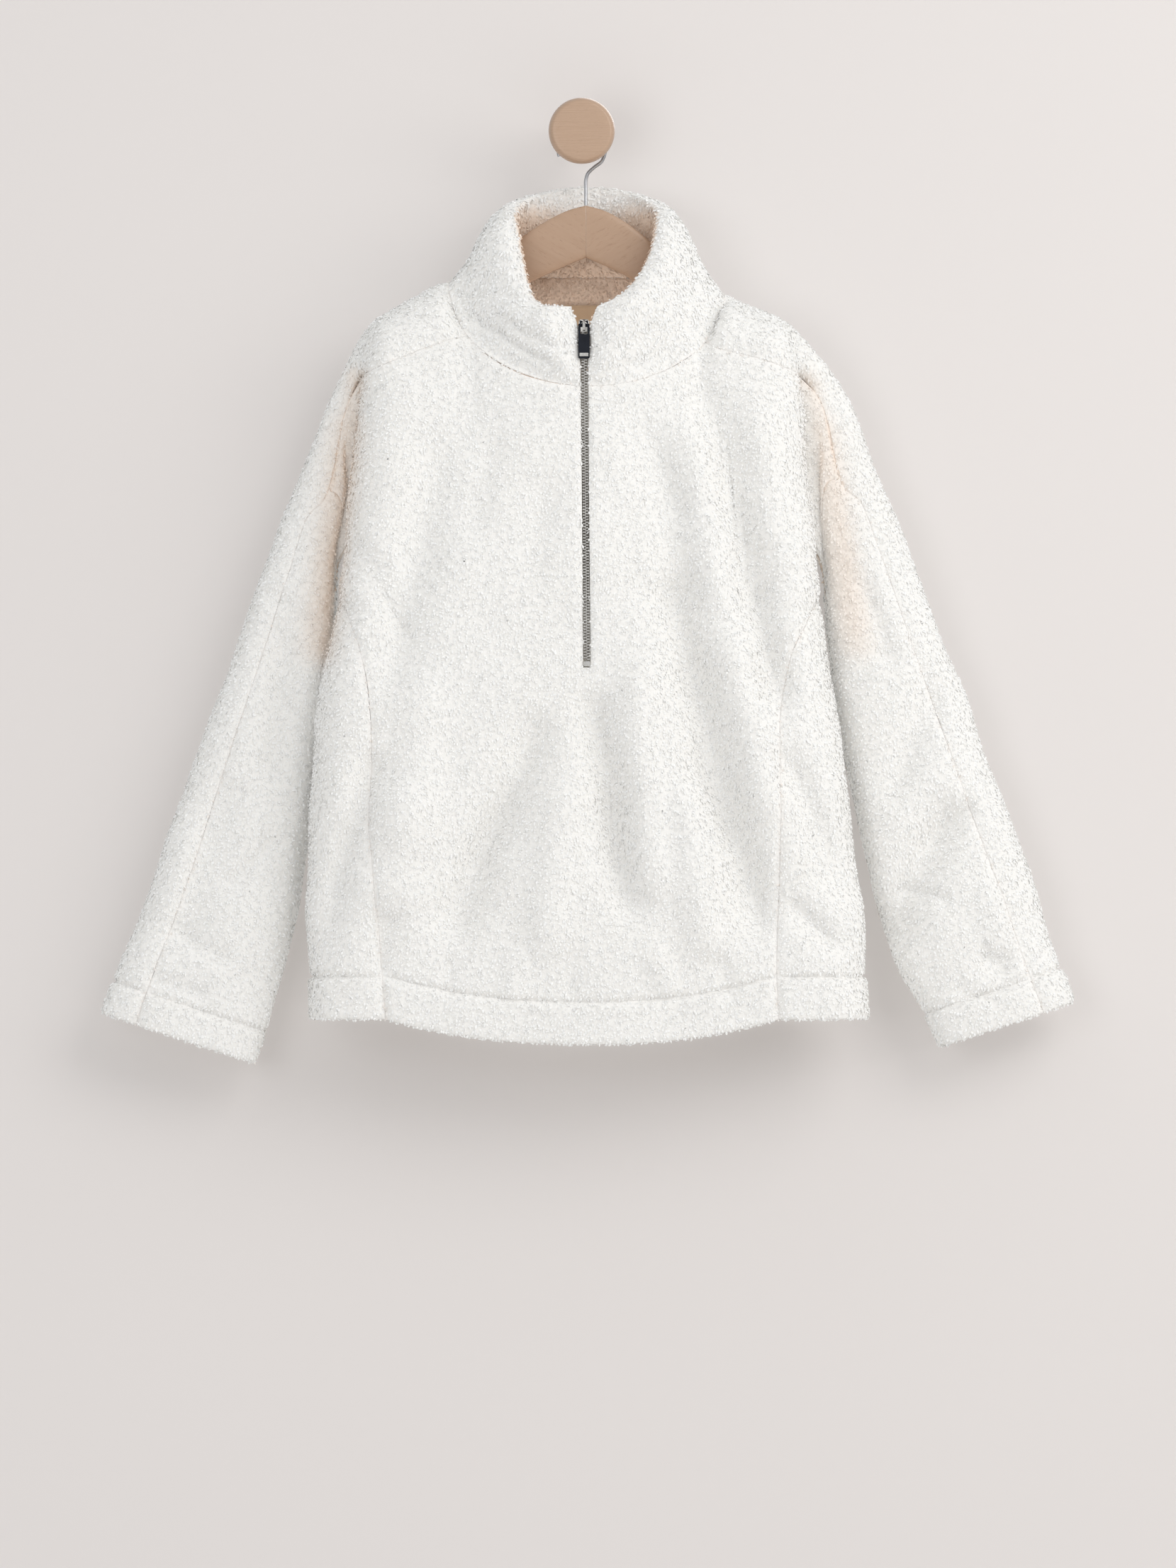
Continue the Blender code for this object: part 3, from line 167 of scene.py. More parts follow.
BACK_SEAM = ((-412, 150, 144), (-500, 142, 138), (-620, 144, 146), (-751, 150, 154))
NECK_HALF = (116, 44)
NECK_MIDDLE = (4.0, -63)
NECK_Z = (-217, -131, -142, -121)       # front, left side, right side, back
SADDLE_START = 60
NECK_STEPS = 5
SHOULDER_STEPS = 7
SADDLE_STEPS = 6
SIDE_STEPS = 8
NECK_SPREAD = 0.45
SPREAD = np.array(((0, 0), (1, 1), (2, 1.43), (3, 2.15)))
FRONT_SETTLE = (1.0, 0.76, 0.52, 0.3, 0.14, 0.05)
BACK_SETTLE = (1.0, 0.85, 0.7, 0.56, 0.43, 0.31, 0.2, 0.12, 0.06, 0.02)
SHOULDER = np.array((
    # crest: out, left z, right z; seams: out, front left z, front right z, back z
    (120, -131, -142, 104, -173, -182, -127),
    (128, -134.5, -145, 113, -177, -184.5, -141),
    (138, -140, -148.5, 126, -182, -187.5, -158),
    (149, -145.5, -153, 140, -187, -191, -174),
    (160, -152, -158, 154, -192.5, -195, -187),
    (171, -158.5, -164, 167, -198, -199.5, -197),
    (181, -167, -171.5, 178, -203, -203.5, -203),
    (188, -180, -180, 188, -206, -206, -206),
), float)
SHOULDER_SHIFT = 1.0
CREST_Y = -58
ZIP_X = ((-150, 1.8), (-454, 4.4), (-775, 4.4))
SLIT_HALF = 3.0
ZIP_WAY = 0.016
print("rows of the torso:", ROW_COUNT)

# %% The torso's sections


def zip_x(z):
    """The zip's line from side to side at a height, straight between its table's rows."""
    return look(ZIP_X, z)


def half_width(side, z):
    """From the zip's line out to the side, at a height."""
    return np.abs(look(BODY, z, 1 if side < 0 else 2) - zip_x(z))


def torso(side, way, z):
    """A section's point. Up to way 1 it goes straight out by the flat front and then round a
    quarter circle, up to 2 it slants to the rear corner, and up to 3 it comes straight back."""
    half, radius = half_width(side, z), look(BODY, z, 5)
    front, back, inset = look(BODY, z, 3), look(BODY, z, 4), look(BODY, z, 6)
    flat = half - radius
    along = way * (flat + radius * np.pi / 2)
    turn = np.clip((along - flat) / radius, 0, np.pi / 2)
    x = np.minimum(along, flat) + radius * np.sin(turn)
    y = front + radius * (1 - np.cos(turn))
    slant = np.clip(way - 1, 0, 1) * np.pi / 2
    beyond = way > 1
    x = np.where(beyond, half - inset * (1 - np.cos(slant) ** SLANT_POWER), x)
    y = np.where(beyond, front + radius + (back - front - radius) * np.sin(slant), y)
    x = np.where(way > 2, (half - inset) * (3 - way), x)
    short = np.maximum(0, 1 - way)
    y = y - FRONT_CROWN * np.sqrt(short) * smooth(short)
    return np.stack([zip_x(z) + side * x, y, z + 0 * x], axis=-1)


def way_of(side, x_out, z):
    """The way of a point of the front that lies x_out from x = 0."""
    radius = look(BODY, z, 5)
    flat = half_width(side, z) - radius
    out = x_out - side * zip_x(z)
    turn = np.arcsin(np.clip((out - flat) / radius, 0, 1))
    return (np.minimum(out, flat) + radius * turn) / (flat + radius * np.pi / 2)


def seam_ways(side):
    """The ways at which the front and the back panel end, in every row: by the seams' tables, and
    in the rows at and above the underarm by its own."""
    row, z = np.arange(ROW_COUNT), ROWS[:, 1]
    pick = 1 if side < 0 else 2
    start = UNDERARM_WAYS[0]
    above, beside = row <= UNDERARM_ROW, row <= UNDERARM_WAYS[-1][0]
    front = way_of(side, look(FRONT_SEAM, z, pick), z)
    front = np.where(beside, look(UNDERARM_WAYS, row, 1), front)
    front = np.where(above, mix(ARMHOLE_WAYS[0], start[1], smooth(row / 4)), front)
    back = 3 - look(BACK_SEAM, z, pick) / (half_width(side, z) - look(BODY, z, 6))
    back = np.where(beside, look(UNDERARM_WAYS, row, 2), back)
    back = np.where(above, mix(ARMHOLE_WAYS[1], start[2], smooth((row - 1) / 5)), back)
    return front, back


def spread(way):
    """The length round the section at a way, straight between its table's rows."""
    return np.interp(way, SPREAD[:, 0], SPREAD[:, 1])


def way_at(length):
    """The way at a length round the section: spread, read backwards."""
    return np.interp(length, SPREAD[:, 1], SPREAD[:, 0])


def column_ways(start, ends):
    """(ways, shares of the whole length) of the columns of a half body, for every row."""
    first, last = spread(start), spread(ends)[:, None]
    neck = first + np.sign(last - first) * NECK_SPREAD
    column = np.arange(NECK_STEPS + SHOULDER_STEPS + 1)[None]
    beyond = np.clip((column - NECK_STEPS) / SHOULDER_STEPS, 0, 1)
    outer = 1 - (1 - beyond) ** COLUMN_POWER
    length = mix(first, neck, np.minimum(column, NECK_STEPS) / NECK_STEPS)
    length = np.where(column > NECK_STEPS, mix(neck, last, outer), length)
    return way_at(length), (length - first) / (last - first)


def row_heights(share):
    """Heights of all the rows at their shares of the way from the middle to the side."""
    return mix(ROWS[:, :1], ROWS[:, 1:], np.abs(share) ** ROW_POWER)


def neck_line(degrees):
    """The neck seam: an oval in plan, whose height follows the cosine of the turn."""
    turn = np.radians(degrees)
    side = np.where(degrees < 0, NECK_Z[1], NECK_Z[2])
    lift = np.cos(turn)
    z = np.where(lift > 0, mix(side, NECK_Z[0], lift), mix(side, NECK_Z[3], -lift))
    x = NECK_HALF[0] * np.sin(turn) + NECK_MIDDLE[0]
    return np.stack([x, NECK_MIDDLE[1] - NECK_HALF[1] * np.cos(turn), z], axis=-1)


def settled(net, top, table):
    """The net with its top row moved to its own seam, and less and less of that move below."""
    share = np.zeros(ROW_COUNT)
    share[:len(table)] = table
    net = net + (top - net[0]) * share[:, None, None]
    return net, 1 - share


def front_net(side):
    """Points of the half front from the zip to the side, and how far folds may sink each."""
    way, share = column_ways(ZIP_WAY, seam_ways(side)[0])
    net = torso(side, way, row_heights(share))
    top = net[0].copy()
    top[:NECK_STEPS + 1] = neck_line(side * np.linspace(0, SADDLE_START, NECK_STEPS + 1))
    top[0, 0] = zip_x(top[0, 2]) + side * SLIT_HALF
    seam = SHOULDER[1:-1]
    x, z = side * seam[:, 3] + SHOULDER_SHIFT, seam[:, 4 if side < 0 else 5]
    y = torso(side, way_of(side, np.abs(x), z), z)[:, 1]
    top[NECK_STEPS + 1:-1] = np.stack([x, y, z], axis=-1)
    net, free = settled(net, top, FRONT_SETTLE)
    net[:, 0, 0] = zip_x(net[:, 0, 2]) + side * SLIT_HALF
    for row, pull in UNDERARM_PULL:
        net[row, -1, 0] += side * pull
    return net, smooth((1.25 - way) / 0.5) * free[:, None]


def back_net(side):
    """Points of the half back from the middle to the side, and how far folds may sink each."""
    way, share = column_ways(3, seam_ways(side)[1])
    net = torso(side, way, row_heights(share))
    top = net[0].copy()
    degrees = np.linspace(180, 180 - SADDLE_START, NECK_STEPS + 1)
    top[:NECK_STEPS + 1] = neck_line(side * degrees)
    neck, last = top[NECK_STEPS], top[-1]
    seam = np.abs(side * SHOULDER[:, 3] + SHOULDER_SHIFT)
    reach = (seam[1:-1] - abs(neck[0])) / (seam[-1] - abs(neck[0]))
    x = mix(neck[0], last[0], reach)
    y = mix(neck[1], last[1], smooth(np.arange(1, SHOULDER_STEPS) / 4))
    top[NECK_STEPS + 1:-1] = np.stack([x, y, SHOULDER[1:-1, 6]], axis=-1)
    net, free = settled(net, top, BACK_SETTLE)
    for row, pull in UNDERARM_PULL:
        net[row, -1, 0] += side * pull
    return net, smooth((way - 1.8) / 0.4) * free[:, None]


FRONTS = {side: front_net(side) for side in SIDES}
BACKS = {side: back_net(side) for side in SIDES}
for side in SIDES:
    BACKS[side][0][UNDERARM_ROW, -1] = FRONTS[side][0][UNDERARM_ROW, -1]
print("half front net:", FRONTS[1][0].shape, "half back net:", BACKS[1][0].shape)

# %% [markdown]
# Four more nets finish the garment. A side panel is the tube between its two seams, from the
# underarm down. The saddle is a strip that starts at the collar, rolls over the shoulder and goes
# on down the outside of the sleeve. The sleeve is a tube of flat ovals that starts as the armhole,
# and the collar is the neck seam drawn in towards a smaller, higher rim.

# %% Tables of the sleeve and collar
SLEEVE = (
    # share, left outer x z, left inner x z, right outer x z, right inner x z
    (0.00, -189, -180, -192, -346, 189, -180, 187, -346),
    (0.06, -203, -209, -204, -366, 208, -200, 200, -366),
    (0.13, -219, -245, -209, -398, 225, -232, 206, -398),
    (0.30, -258, -349, -216, -488, 266, -334, 217, -488),
    (0.50, -306, -480, -230, -586, 312, -453, 236, -586),
    (0.70, -350, -603, -244, -668, 357, -573, 254, -664),
    (0.85, -380, -683, -258, -722, 386, -653, 272, -715),
    (0.93, -394, -719, -269, -757, 402, -706, 292, -745),
    (1.00, -403, -747, -279, -788, 413, -738, 305, -774),
)
SLEEVE_RINGS = np.array(
    (0, .06, .13, .22, .29, .36, .44, .52, .6, .68, .76, .84, .9, .935, .945, .975, 1)
)
ARMHOLE_RING = 2
CUFF_STITCH_RING = 13
SLEEVE_SETTLED = 0.3    # the share of the sleeve over which it leaves the armhole's line
OVAL_POWER = 2.6        # 2 is a true oval, and more is fuller at its edges
ARMHOLE_SEAM = np.array((
    (-213, -300, 218, -291), (-208, -306, 211, -294), (-204, -316, 205, -304),
    (-206, -335, 205, -326), (-209, -356, 207, -350), (-211, -378, 209, -374),
    (-213, -398, 210, -398),
), float)
SLEEVE_DEPTH = (
    (0.00, -50, 6, 28), (0.06, -43, 13, 25), (0.13, -40, 17, 24), (0.30, -38, 23, 23),
    (0.60, -39, 26, 23), (0.85, -40, 24, 22), (1.00, -41, 21, 20),
)
SLEEVE_ACROSS = (0.21, 0.34, 0.49, 0.64, 0.79, 0.92, 1.0)
SLEEVE_TOP = (0.21, 0.09, 0.022, 0.0, 0.022, 0.09, 0.21)
RIM_HALF = (56, 37)
RIM_MIDDLE = (3.8, -70)
RIM_Z = (-150, -76, -46.5)
RIM_SAG_LEFT = 0.8      # the rim's left stays level up to where the turn's cosine is this
ZIP_DEGREES = 0.5       # where the collar starts beside the zip
HOLLOW_DEGREES = 40     # how far from there its hollow is full
SLIDER_SLIT = (-196, 16, 5.0)           # where it starts to open, over what height, half width
RIM_SLIT = (-164, 15, 11.0)
COLLAR_ROWS = np.array((
    # share of the way up, hollow of the inner face, thickness
    (0.0, 0, 3.6), (0.12, 6, 9), (0.3, 8, 15), (0.52, 5, 19), (0.76, 1, 21), (0.93, 0, 20),
    (1.0, 0, 14),
))

# %% Nets of the side panels, saddles, sleeves and collar


def side_net(side):
    """Rows of a side panel from the underarm, between its two seams' ways, spread evenly."""
    front, back = FRONTS[side], BACKS[side]
    start, end = (spread(ways)[UNDERARM_ROW:, None] for ways in seam_ways(side))
    way = way_at(mix(start, end, np.arange(SIDE_STEPS + 1)[None] / SIDE_STEPS))
    z = ROWS[UNDERARM_ROW:, 1:]
    net, sinks = torso(side, way, z + 0 * way), smooth((1.25 - way) / 0.5)
    net[:, 0], net[:, -1] = front[0][UNDERARM_ROW:, -1], back[0][UNDERARM_ROW:, -1]
    sinks[:, 0] = front[1][UNDERARM_ROW:, -1]
    net[0] = net[0, 0]
    return net, sinks


def shoulder_net(side):
    """The saddle over the shoulder: quarter turns from its front seam up to the crest and from
    there down to its back seam."""
    half = SADDLE_STEPS // 2
    strip = np.arange(SADDLE_STEPS + 1)
    share = np.where(strip <= half, strip / half, 2 - strip / half)[None]
    turn = share * np.pi / 2
    low = FRONTS[side][0][0, NECK_STEPS:]
    far = BACKS[side][0][0, NECK_STEPS:]
    end = np.where((strip <= half)[None, :, None], low[:, None], far[:, None])
    crest = np.stack([
        side * SHOULDER[:, 0] + SHOULDER_SHIFT, np.full(len(SHOULDER), float(CREST_Y)),
        SHOULDER[:, 1 if side < 0 else 2],
    ], axis=-1)[:, None]
    shares = np.stack([share, 1 - np.cos(turn), np.sin(turn)], axis=-1)
    net = mix(end, crest, shares)
    net[0] = neck_line(side * np.linspace(SADDLE_START, 180 - SADDLE_START, len(strip)))
    return net


def oval(side, share, across, towards):
    """A sleeve's ring between its outer edge, across 0, and its inner edge, across 1: the depth
    is a flattened circle's."""
    first = 1 if side < 0 else 5
    ox, oz, ix, iz = (look(SLEEVE, share, first + i) for i in range(4))
    middle, fore, aft = (look(SLEEVE_DEPTH, share, i) for i in (1, 2, 3))
    height = np.sqrt(1 - np.abs(2 * across - 1) ** OVAL_POWER)
    y = middle + np.where(towards < 0, -fore, aft) * height
    return np.stack([mix(ox, ix, across), y, mix(oz, iz, across)], axis=-1)


def sleeve_net(side):
    """Rings of the sleeve: 7 columns on its front, 6 on its back, 5 over its outside."""
    front, back, top = FRONTS[side][0], BACKS[side][0], shoulder_net(side)
    first = np.concatenate([
        front[:UNDERARM_ROW + 1, -1], back[UNDERARM_ROW - 1::-1, -1],
        top[-1, SADDLE_STEPS - 1:0:-1],
    ])
    strips = np.arange(SADDLE_STEPS - 1, 0, -1)
    across = np.concatenate([
        SLEEVE_ACROSS, SLEEVE_ACROSS[-2::-1], np.array(SLEEVE_TOP)[strips],
    ])[None]
    towards = np.concatenate([
        np.full(7, -1), np.full(6, 1), np.where(strips > SADDLE_STEPS // 2, 1, -1),
    ])[None]
    share = SLEEVE_RINGS[:, None]
    net = oval(side, share, across, towards)
    held = (1 - smooth(share / SLEEVE_SETTLED))[..., None]
    net = net + (first - net[0]) * held
    pick = (0, 1) if side < 0 else (2, 3)
    net[ARMHOLE_RING, :7, 0] = ARMHOLE_SEAM[:, pick[0]]
    net[ARMHOLE_RING, :7, 2] = ARMHOLE_SEAM[:, pick[1]]
    sinks = smooth(share * 4) * np.where(towards < 0, 1.0, 0.0)
    return net, sinks


def rim_line(degrees):
    """The collar's rim, made as the neck seam is."""
    turn = np.radians(degrees)
    front, side, back = RIM_Z
    lift = np.cos(turn)
    fore = np.where(turn < 0, smooth(lift / RIM_SAG_LEFT), lift)
    z = np.where(lift > 0, mix(side, front, fore), mix(side, back, -lift))
    x = RIM_HALF[0] * np.sin(turn) + RIM_MIDDLE[0]
    return np.stack([x, RIM_MIDDLE[1] - RIM_HALF[1] * np.cos(turn), z], axis=-1)


def collar_net():
    """Rows from the neck seam up, each a share of the way to the rim, drawn in by the hollow,
    and held open beside the zip."""
    steps = np.arange(NECK_STEPS + 1) / NECK_STEPS
    strips = np.arange(1, SADDLE_STEPS) / SADDLE_STEPS
    half = np.concatenate([
        mix(ZIP_DEGREES, SADDLE_START, steps), mix(SADDLE_START, 180 - SADDLE_START, strips),
        mix(180, 180 - SADDLE_START, steps)[::-1],
    ])
    degrees = np.concatenate([half, -half[-2::-1]])
    lines = []
    for side in (1, -1):
        lines.append(np.concatenate([
            FRONTS[side][0][0, :NECK_STEPS + 1], shoulder_net(side)[0, 1:-1],
            BACKS[side][0][0, NECK_STEPS::-1],
        ]))
    ring = np.concatenate([lines[0], lines[1][-2::-1]])
    share, hollow = COLLAR_ROWS[:, 0, None, None], COLLAR_ROWS[:, 1, None, None]
    out = np.stack([
        ring[:, 0] - NECK_MIDDLE[0], (ring[:, 1] - NECK_MIDDLE[1]) * 2, 0 * degrees,
    ], axis=-1)
    ease = smooth(np.abs(degrees) / HOLLOW_DEGREES)[None, :, None]
    net = mix(ring[None], rim_line(degrees)[None], share) - unit(out)[None] * hollow * ease
    for column, side in ((0, 1), (-1, -1)):
        z = net[:, column, 2]
        opening = mix(SLIT_HALF, SLIDER_SLIT[2], smooth((z - SLIDER_SLIT[0]) / SLIDER_SLIT[1]))
        wide = smooth((z - RIM_SLIT[0]) / RIM_SLIT[1])
        opening = opening + (RIM_SLIT[2] - SLIDER_SLIT[2]) * wide
        net[:, column, 0] = zip_x(z) + side * opening
    return net


SLEEVES = {side: sleeve_net(side) for side in SIDES}
COLLAR = collar_net()
print("sleeve net:", SLEEVES[1][0].shape, "collar net:", COLLAR.shape)

# %% [markdown]
# Heavy cloth on a hanger falls in long soft folds, and each has its own length, depth and slant.
# They are given one by one as lines: a trough or ridge has a half width and a depth, and fades out
# at both ends. Most of the broad ones are also in the solid model, and one factor makes them all
# deeper here. The small ones are this scene's own: short creases under the arms, on the collar and
# above the cuffs, and a slow unevenness that no hung fleece is without.

# %% Folds
FRONT_FOLDS = (
    # start x z, end x z, half width, depth (ridges are negative)
    (-119, -266, -159, -464, 20, 5), (-38, -505, -110, -668, 19, 8),
    (9, -485, 40, -655, 15, 7), (74, -392, 148, -667, 18, 10),
    (109, -224, 162, -474, 17, 10), (170, -236, 180, -338, 11, 3),
    (48, -464, 58, -636, 17, -5), (129, -428, 157, -572, 17, -5),
    (-150, -560, -160, -650, 26, -5), (-177, -536, -216, -685, 13, 5),
    (175, -532, 226, -653, 13, 5), (176, -653, 216, -690, 10, 4),
    (48, -238, 86, -400, 18, 4.5), (-136, -470, -142, -600, 22, -4),
    (-14, -560, -30, -690, 18, -4), (88, -560, 104, -690, 16, -4), (96, -250, 118, -400, 12, -4),
)
FRONT_CREASES = (
    (-178, -372, -150, -425, 8, 2.5), (-190, -350, -168, -372, 7, 2), (150, -362, 176, -344, 7, 2),
    (146, -398, 180, -372, 8, 2.6), (-60, -560, -92, -622, 9, 2.2), (92, -520, 122, -604, 8, 2.6),
    (20, -560, 30, -622, 8, 2), (-160, -664, -170, -706, 9, 2), (186, -590, 205, -640, 7, 2),
    (-196, -590, -214, -640, 8, 2.2), (64, -262, 84, -330, 10, 2), (-72, -262, -92, -340, 12, 2),
    (128, -236, 150, -300, 8, 2), (-30, -300, -38, -380, 14, 1.4), (36, -320, 46, -396, 13, 1.6),
    (60, -690, 74, -728, 9, -1.8), (-52, -694, -60, -732, 9, -1.6), (116, -696, 124, -730, 8, 1.6),
    (-110, -700, -112, -732, 8, 1.6), (-8, -690, -10, -730, 9, 1.2),
)
BACK_FOLDS = (
    (-70, -200, -130, -520, 24, 5), (60, -230, 120, -560, 22, 6),
    (-20, -380, -60, -690, 20, 5), (20, -420, 70, -700, 18, 5),
)
BACK_CREASES = (
    (-150, -330, -110, -400, 9, 2.4), (150, -340, 112, -404, 9, 2.4), (-8, -240, -14, -350, 13, 2),
    (-96, -560, -120, -690, 11, 2.8), (112, -600, 136, -700, 11, 2.6),
    (40, -250, 52, -330, 10, 1.6),
    (-40, -560, -30, -640, 12, -2.4), (2, -600, 8, -706, 12, 2), (86, -470, 98, -560, 12, -2.2),
    (-112, -250, -140, -310, 9, 2), (120, -256, 146, -318, 9, 2),
)
SLEEVE_FOLDS = (
    (310, -574, 262, -676, 20, 8), (336, -700, 362, -706, 13, 4), (300, -470, 262, -560, 16, 4),
    (-300, -560, -340, -690, 18, 4), (-250, -420, -262, -540, 14, 4),
)
SLEEVE_CREASES = (
    (238, -380, 262, -450, 9, 2.4), (-224, -420, -262, -392, 8, 2),
    (290, -600, 330, -570, 7, 2.2),
    (270, -640, 312, -650, 7, 2.4), (318, -726, 352, -734, 7, 1.8),
    (-262, -600, -300, -640, 8, 2.2), (-300, -700, -346, -676, 8, 2),
    (-318, -730, -360, -718, 7, 2), (230, -470, 252, -440, 7, 1.8),
    (-232, -500, -262, -470, 8, 1.8), (344, -640, 352, -690, 9, -2),
    (-330, -600, -352, -660, 10, -2),
)
FOLD_SCALE = 1.9        # how much deeper every fold is than its row says
COLLAR_CREASES = (
    # start x z, end x z, half width, depth
    (-92, -158, -24, -199, 4.5, 3.4), (-69, -158, -15, -185, 4, 2.6),
    (-84, -186, -44, -208, 4, 2.2),
    (-60, -138, -34, -160, 5, 1.8), (89, -112, 92, -146, 5, 2.4),
    (28, -186, 62, -164, 5, 2.0), (20, -204, 70, -190, 5, 1.6), (-104, -136, -84, -176, 5, 2.0),
)
SWELLS = (
    # wave numbers along x and z, in radians a metre, shift, height in mm
    (41.0, 17.0, 0.4, 0.55), (-23.0, 38.0, 2.1, 0.6), (67.0, -29.0, 4.0, 0.4),
    (13.0, -71.0, 1.2, 0.45), (-88.0, 52.0, 5.2, 0.28), (97.0, 83.0, 3.1, 0.22),
)


def fold_depth(points, folds):
    """How far folds sink the points: each a bell across its line, fading out past both ends."""
    total = np.zeros(points.shape[:-1])
    flat = points[..., [0, 2]]
    for x0, z0, x1, z1, width, depth in folds:
        a, line = np.array((x0, z0), float), np.array((x1 - x0, z1 - z0), float)
        share = ((flat - a) @ line) / (line @ line)
        ends = smooth((share + 0.25) / 0.4) * smooth((1.25 - share) / 0.4)
        foot = a + np.clip(share, 0, 1)[..., None] * line
        away = np.linalg.norm(flat - foot, axis=-1)
        total += depth * ends * np.exp(-((away / width) ** 2))
    return total


def swell(points):
    """Slow waves over the whole garment: a sum of sines of x and z."""
    x, z = points[..., 0] * MM, points[..., 2] * MM
    return sum(height * np.sin(a * x + b * z + c) for a, b, c, height in SWELLS)


# %% [markdown]
# The nets are made finer here, to about one point every five millimetres. Rows crowd together
# beside a seam, at an open edge and at a row of stitches, because that is where the cloth turns
# sharply. Patches of one panel share their border points exactly, so that they can be welded.

# %% Fine patches
STEP = 5.6
ROW_KNOTS = -ROWS.mean(axis=1) + ROWS[0].mean()
ROW_AT = stations(ROW_KNOTS, STEP, stops=(ROW_KNOTS[STITCH_ROW],))
ARM_ROWS = np.count_nonzero(ROW_AT <= ROW_KNOTS[UNDERARM_ROW])
ROW_AT[ARM_ROWS - 1] = ROW_KNOTS[UNDERARM_ROW]
ZIP_ROWS = np.count_nonzero(ROW_AT < ROW_KNOTS[ZIP_END_ROW] - 1.5)
ROW_AT[ZIP_ROWS] = ROW_KNOTS[ZIP_END_ROW]


def knots_of(net):
    """Lengths along the net's first axis, averaged over its second."""
    steps = np.linalg.norm(np.diff(net[..., :3], axis=0), axis=-1).mean(axis=1)
    return np.concatenate([[0.0], np.cumsum(steps)])


def across(net):
    """Lengths along the net's second axis, averaged over its first."""
    return knots_of(np.swapaxes(net, 0, 1))


def widen(net, extra):
    """The points with one more value beside each of them."""
    return np.concatenate([net, extra[..., None]], axis=-1)


def fine(net, row_knots, row_at, column_knots, column_at, closed=False):
    """The net at finer places along both of its axes."""
    tall = glide(net, row_knots, row_at)
    wide = glide(np.swapaxes(tall, 0, 1), column_knots, column_at, closed)
    return np.swapaxes(wide, 0, 1)


def folded(patch, folds, towards):
    """A patch's points, moved in y by the folds near them as far as each may sink."""
    points = patch[..., :3].copy()
    points[..., 1] += towards * FOLD_SCALE * patch[..., 3] * fold_depth(points, folds)
    return points


def front_patch(side):
    """The half front at finer places, with its folds and creases sunk towards the back."""
    knots = across(FRONTS[side][0])
    at = stations(knots, STEP)
    whole = fine(widen(*FRONTS[side]), ROW_KNOTS, ROW_AT, knots, at)
    return folded(whole, FRONT_FOLDS + FRONT_CREASES, 1)


def back_patch():
    """Both half backs joined at the middle, at finer places, with folds sunk towards the front."""
    whole = np.concatenate([widen(*BACKS[-1])[:, ::-1], widen(*BACKS[1])[:, 1:]], axis=1)
    knots = across(whole)
    whole = fine(whole, ROW_KNOTS, ROW_AT, knots, stations(knots, STEP))
    return folded(whole, BACK_FOLDS + BACK_CREASES, -1)


def side_patch(side):
    """A side panel at finer places. Its folds are the front's, so that both meet at the seam."""
    net = widen(*side_net(side))
    knots = across(net[1:])
    whole = fine(
        net, ROW_KNOTS[UNDERARM_ROW:], ROW_AT[ARM_ROWS - 1:], knots, stations(knots, STEP)
    )
    return folded(whole, FRONT_FOLDS + FRONT_CREASES, 1)


def sleeve_patches(side):
    """The sleeve's fine tube, cut into its armhole pieces, front and back, and the saddle."""
    net = widen(*SLEEVES[side])
    lengths = knots_of(net)
    stops = (lengths[ARMHOLE_RING], lengths[CUFF_STITCH_RING])
    ring_at = stations(lengths, STEP, stops=stops)
    columns = np.interp(ROW_AT[:ARM_ROWS], ROW_KNOTS, np.arange(ROW_COUNT))
    foot = len(columns) - 1
    column_at = np.concatenate([columns, 12 - columns[-2::-1]])
    tube = fine(net, lengths, ring_at, np.arange(19), column_at, closed=True)
    tube = folded(tube, SLEEVE_FOLDS + SLEEVE_CREASES, 1)
    tube[0, :foot + 1] = front_fine[side][:ARM_ROWS, -1]
    tube[0, foot + 1:] = back_fine[ARM_ROWS - 2::-1, -1 if side > 0 else 0]
    hole = np.argmin(np.abs(ring_at - lengths[ARMHOLE_RING]))
    top = widen(shoulder_net(side), np.zeros((SHOULDER_STEPS + 1, SADDLE_STEPS + 1)))
    outside = np.concatenate([net[:, 12:], net[:, :1]], axis=1)
    strip = np.concatenate([top, outside[1:, ::-1]])
    # the three rows where the shoulder bends into the sleeve are eased towards their neighbours
    eased = 0.5 * strip + 0.25 * (np.roll(strip, 1, axis=0) + np.roll(strip, -1, axis=0))
    bend = slice(SHOULDER_STEPS - 1, SHOULDER_STEPS + 2)
    strip[bend, 1:-1] = eased[bend, 1:-1]
    strip_knots = knots_of(strip)
    strip_at = stations(strip_knots, STEP, stops=(strip_knots[-1] - lengths[-1] + stops[1],))
    wide = across(strip)
    saddle = fine(strip, strip_knots, strip_at, wide, stations(wide, 4.6))
    return {
        "hole_front": tube[:hole + 1, :foot + 1], "hole_back": tube[:hole + 1, foot:],
        "front": tube[hole:, :foot + 1], "back": tube[hole:, foot:],
        "saddle": folded(saddle, SLEEVE_FOLDS + SLEEVE_CREASES, 1),
        "stitch": lengths[-1] - stops[1],
    }


def collar_patch():
    """The collar at finer places, with its thickness as a fourth value beside each point."""
    thick = np.broadcast_to(COLLAR_ROWS[:, None, 2:], COLLAR.shape[:2] + (1,))
    net = np.concatenate([COLLAR, thick], axis=-1)
    heights, knots = knots_of(COLLAR), across(COLLAR)
    return fine(net, heights, stations(heights, 5.0), knots, stations(knots, 5.4))


front_fine = {side: front_patch(side) for side in SIDES}
back_fine = back_patch()
side_fine = {side: side_patch(side) for side in SIDES}
sleeve_fine = {side: sleeve_patches(side) for side in SIDES}
collar_fine = collar_patch()
print("front, back and collar grids:", front_fine[1].shape, back_fine.shape, collar_fine.shape)
print("cuff stitches above the edge:", round(sleeve_fine[1]["stitch"], 1), "mm")

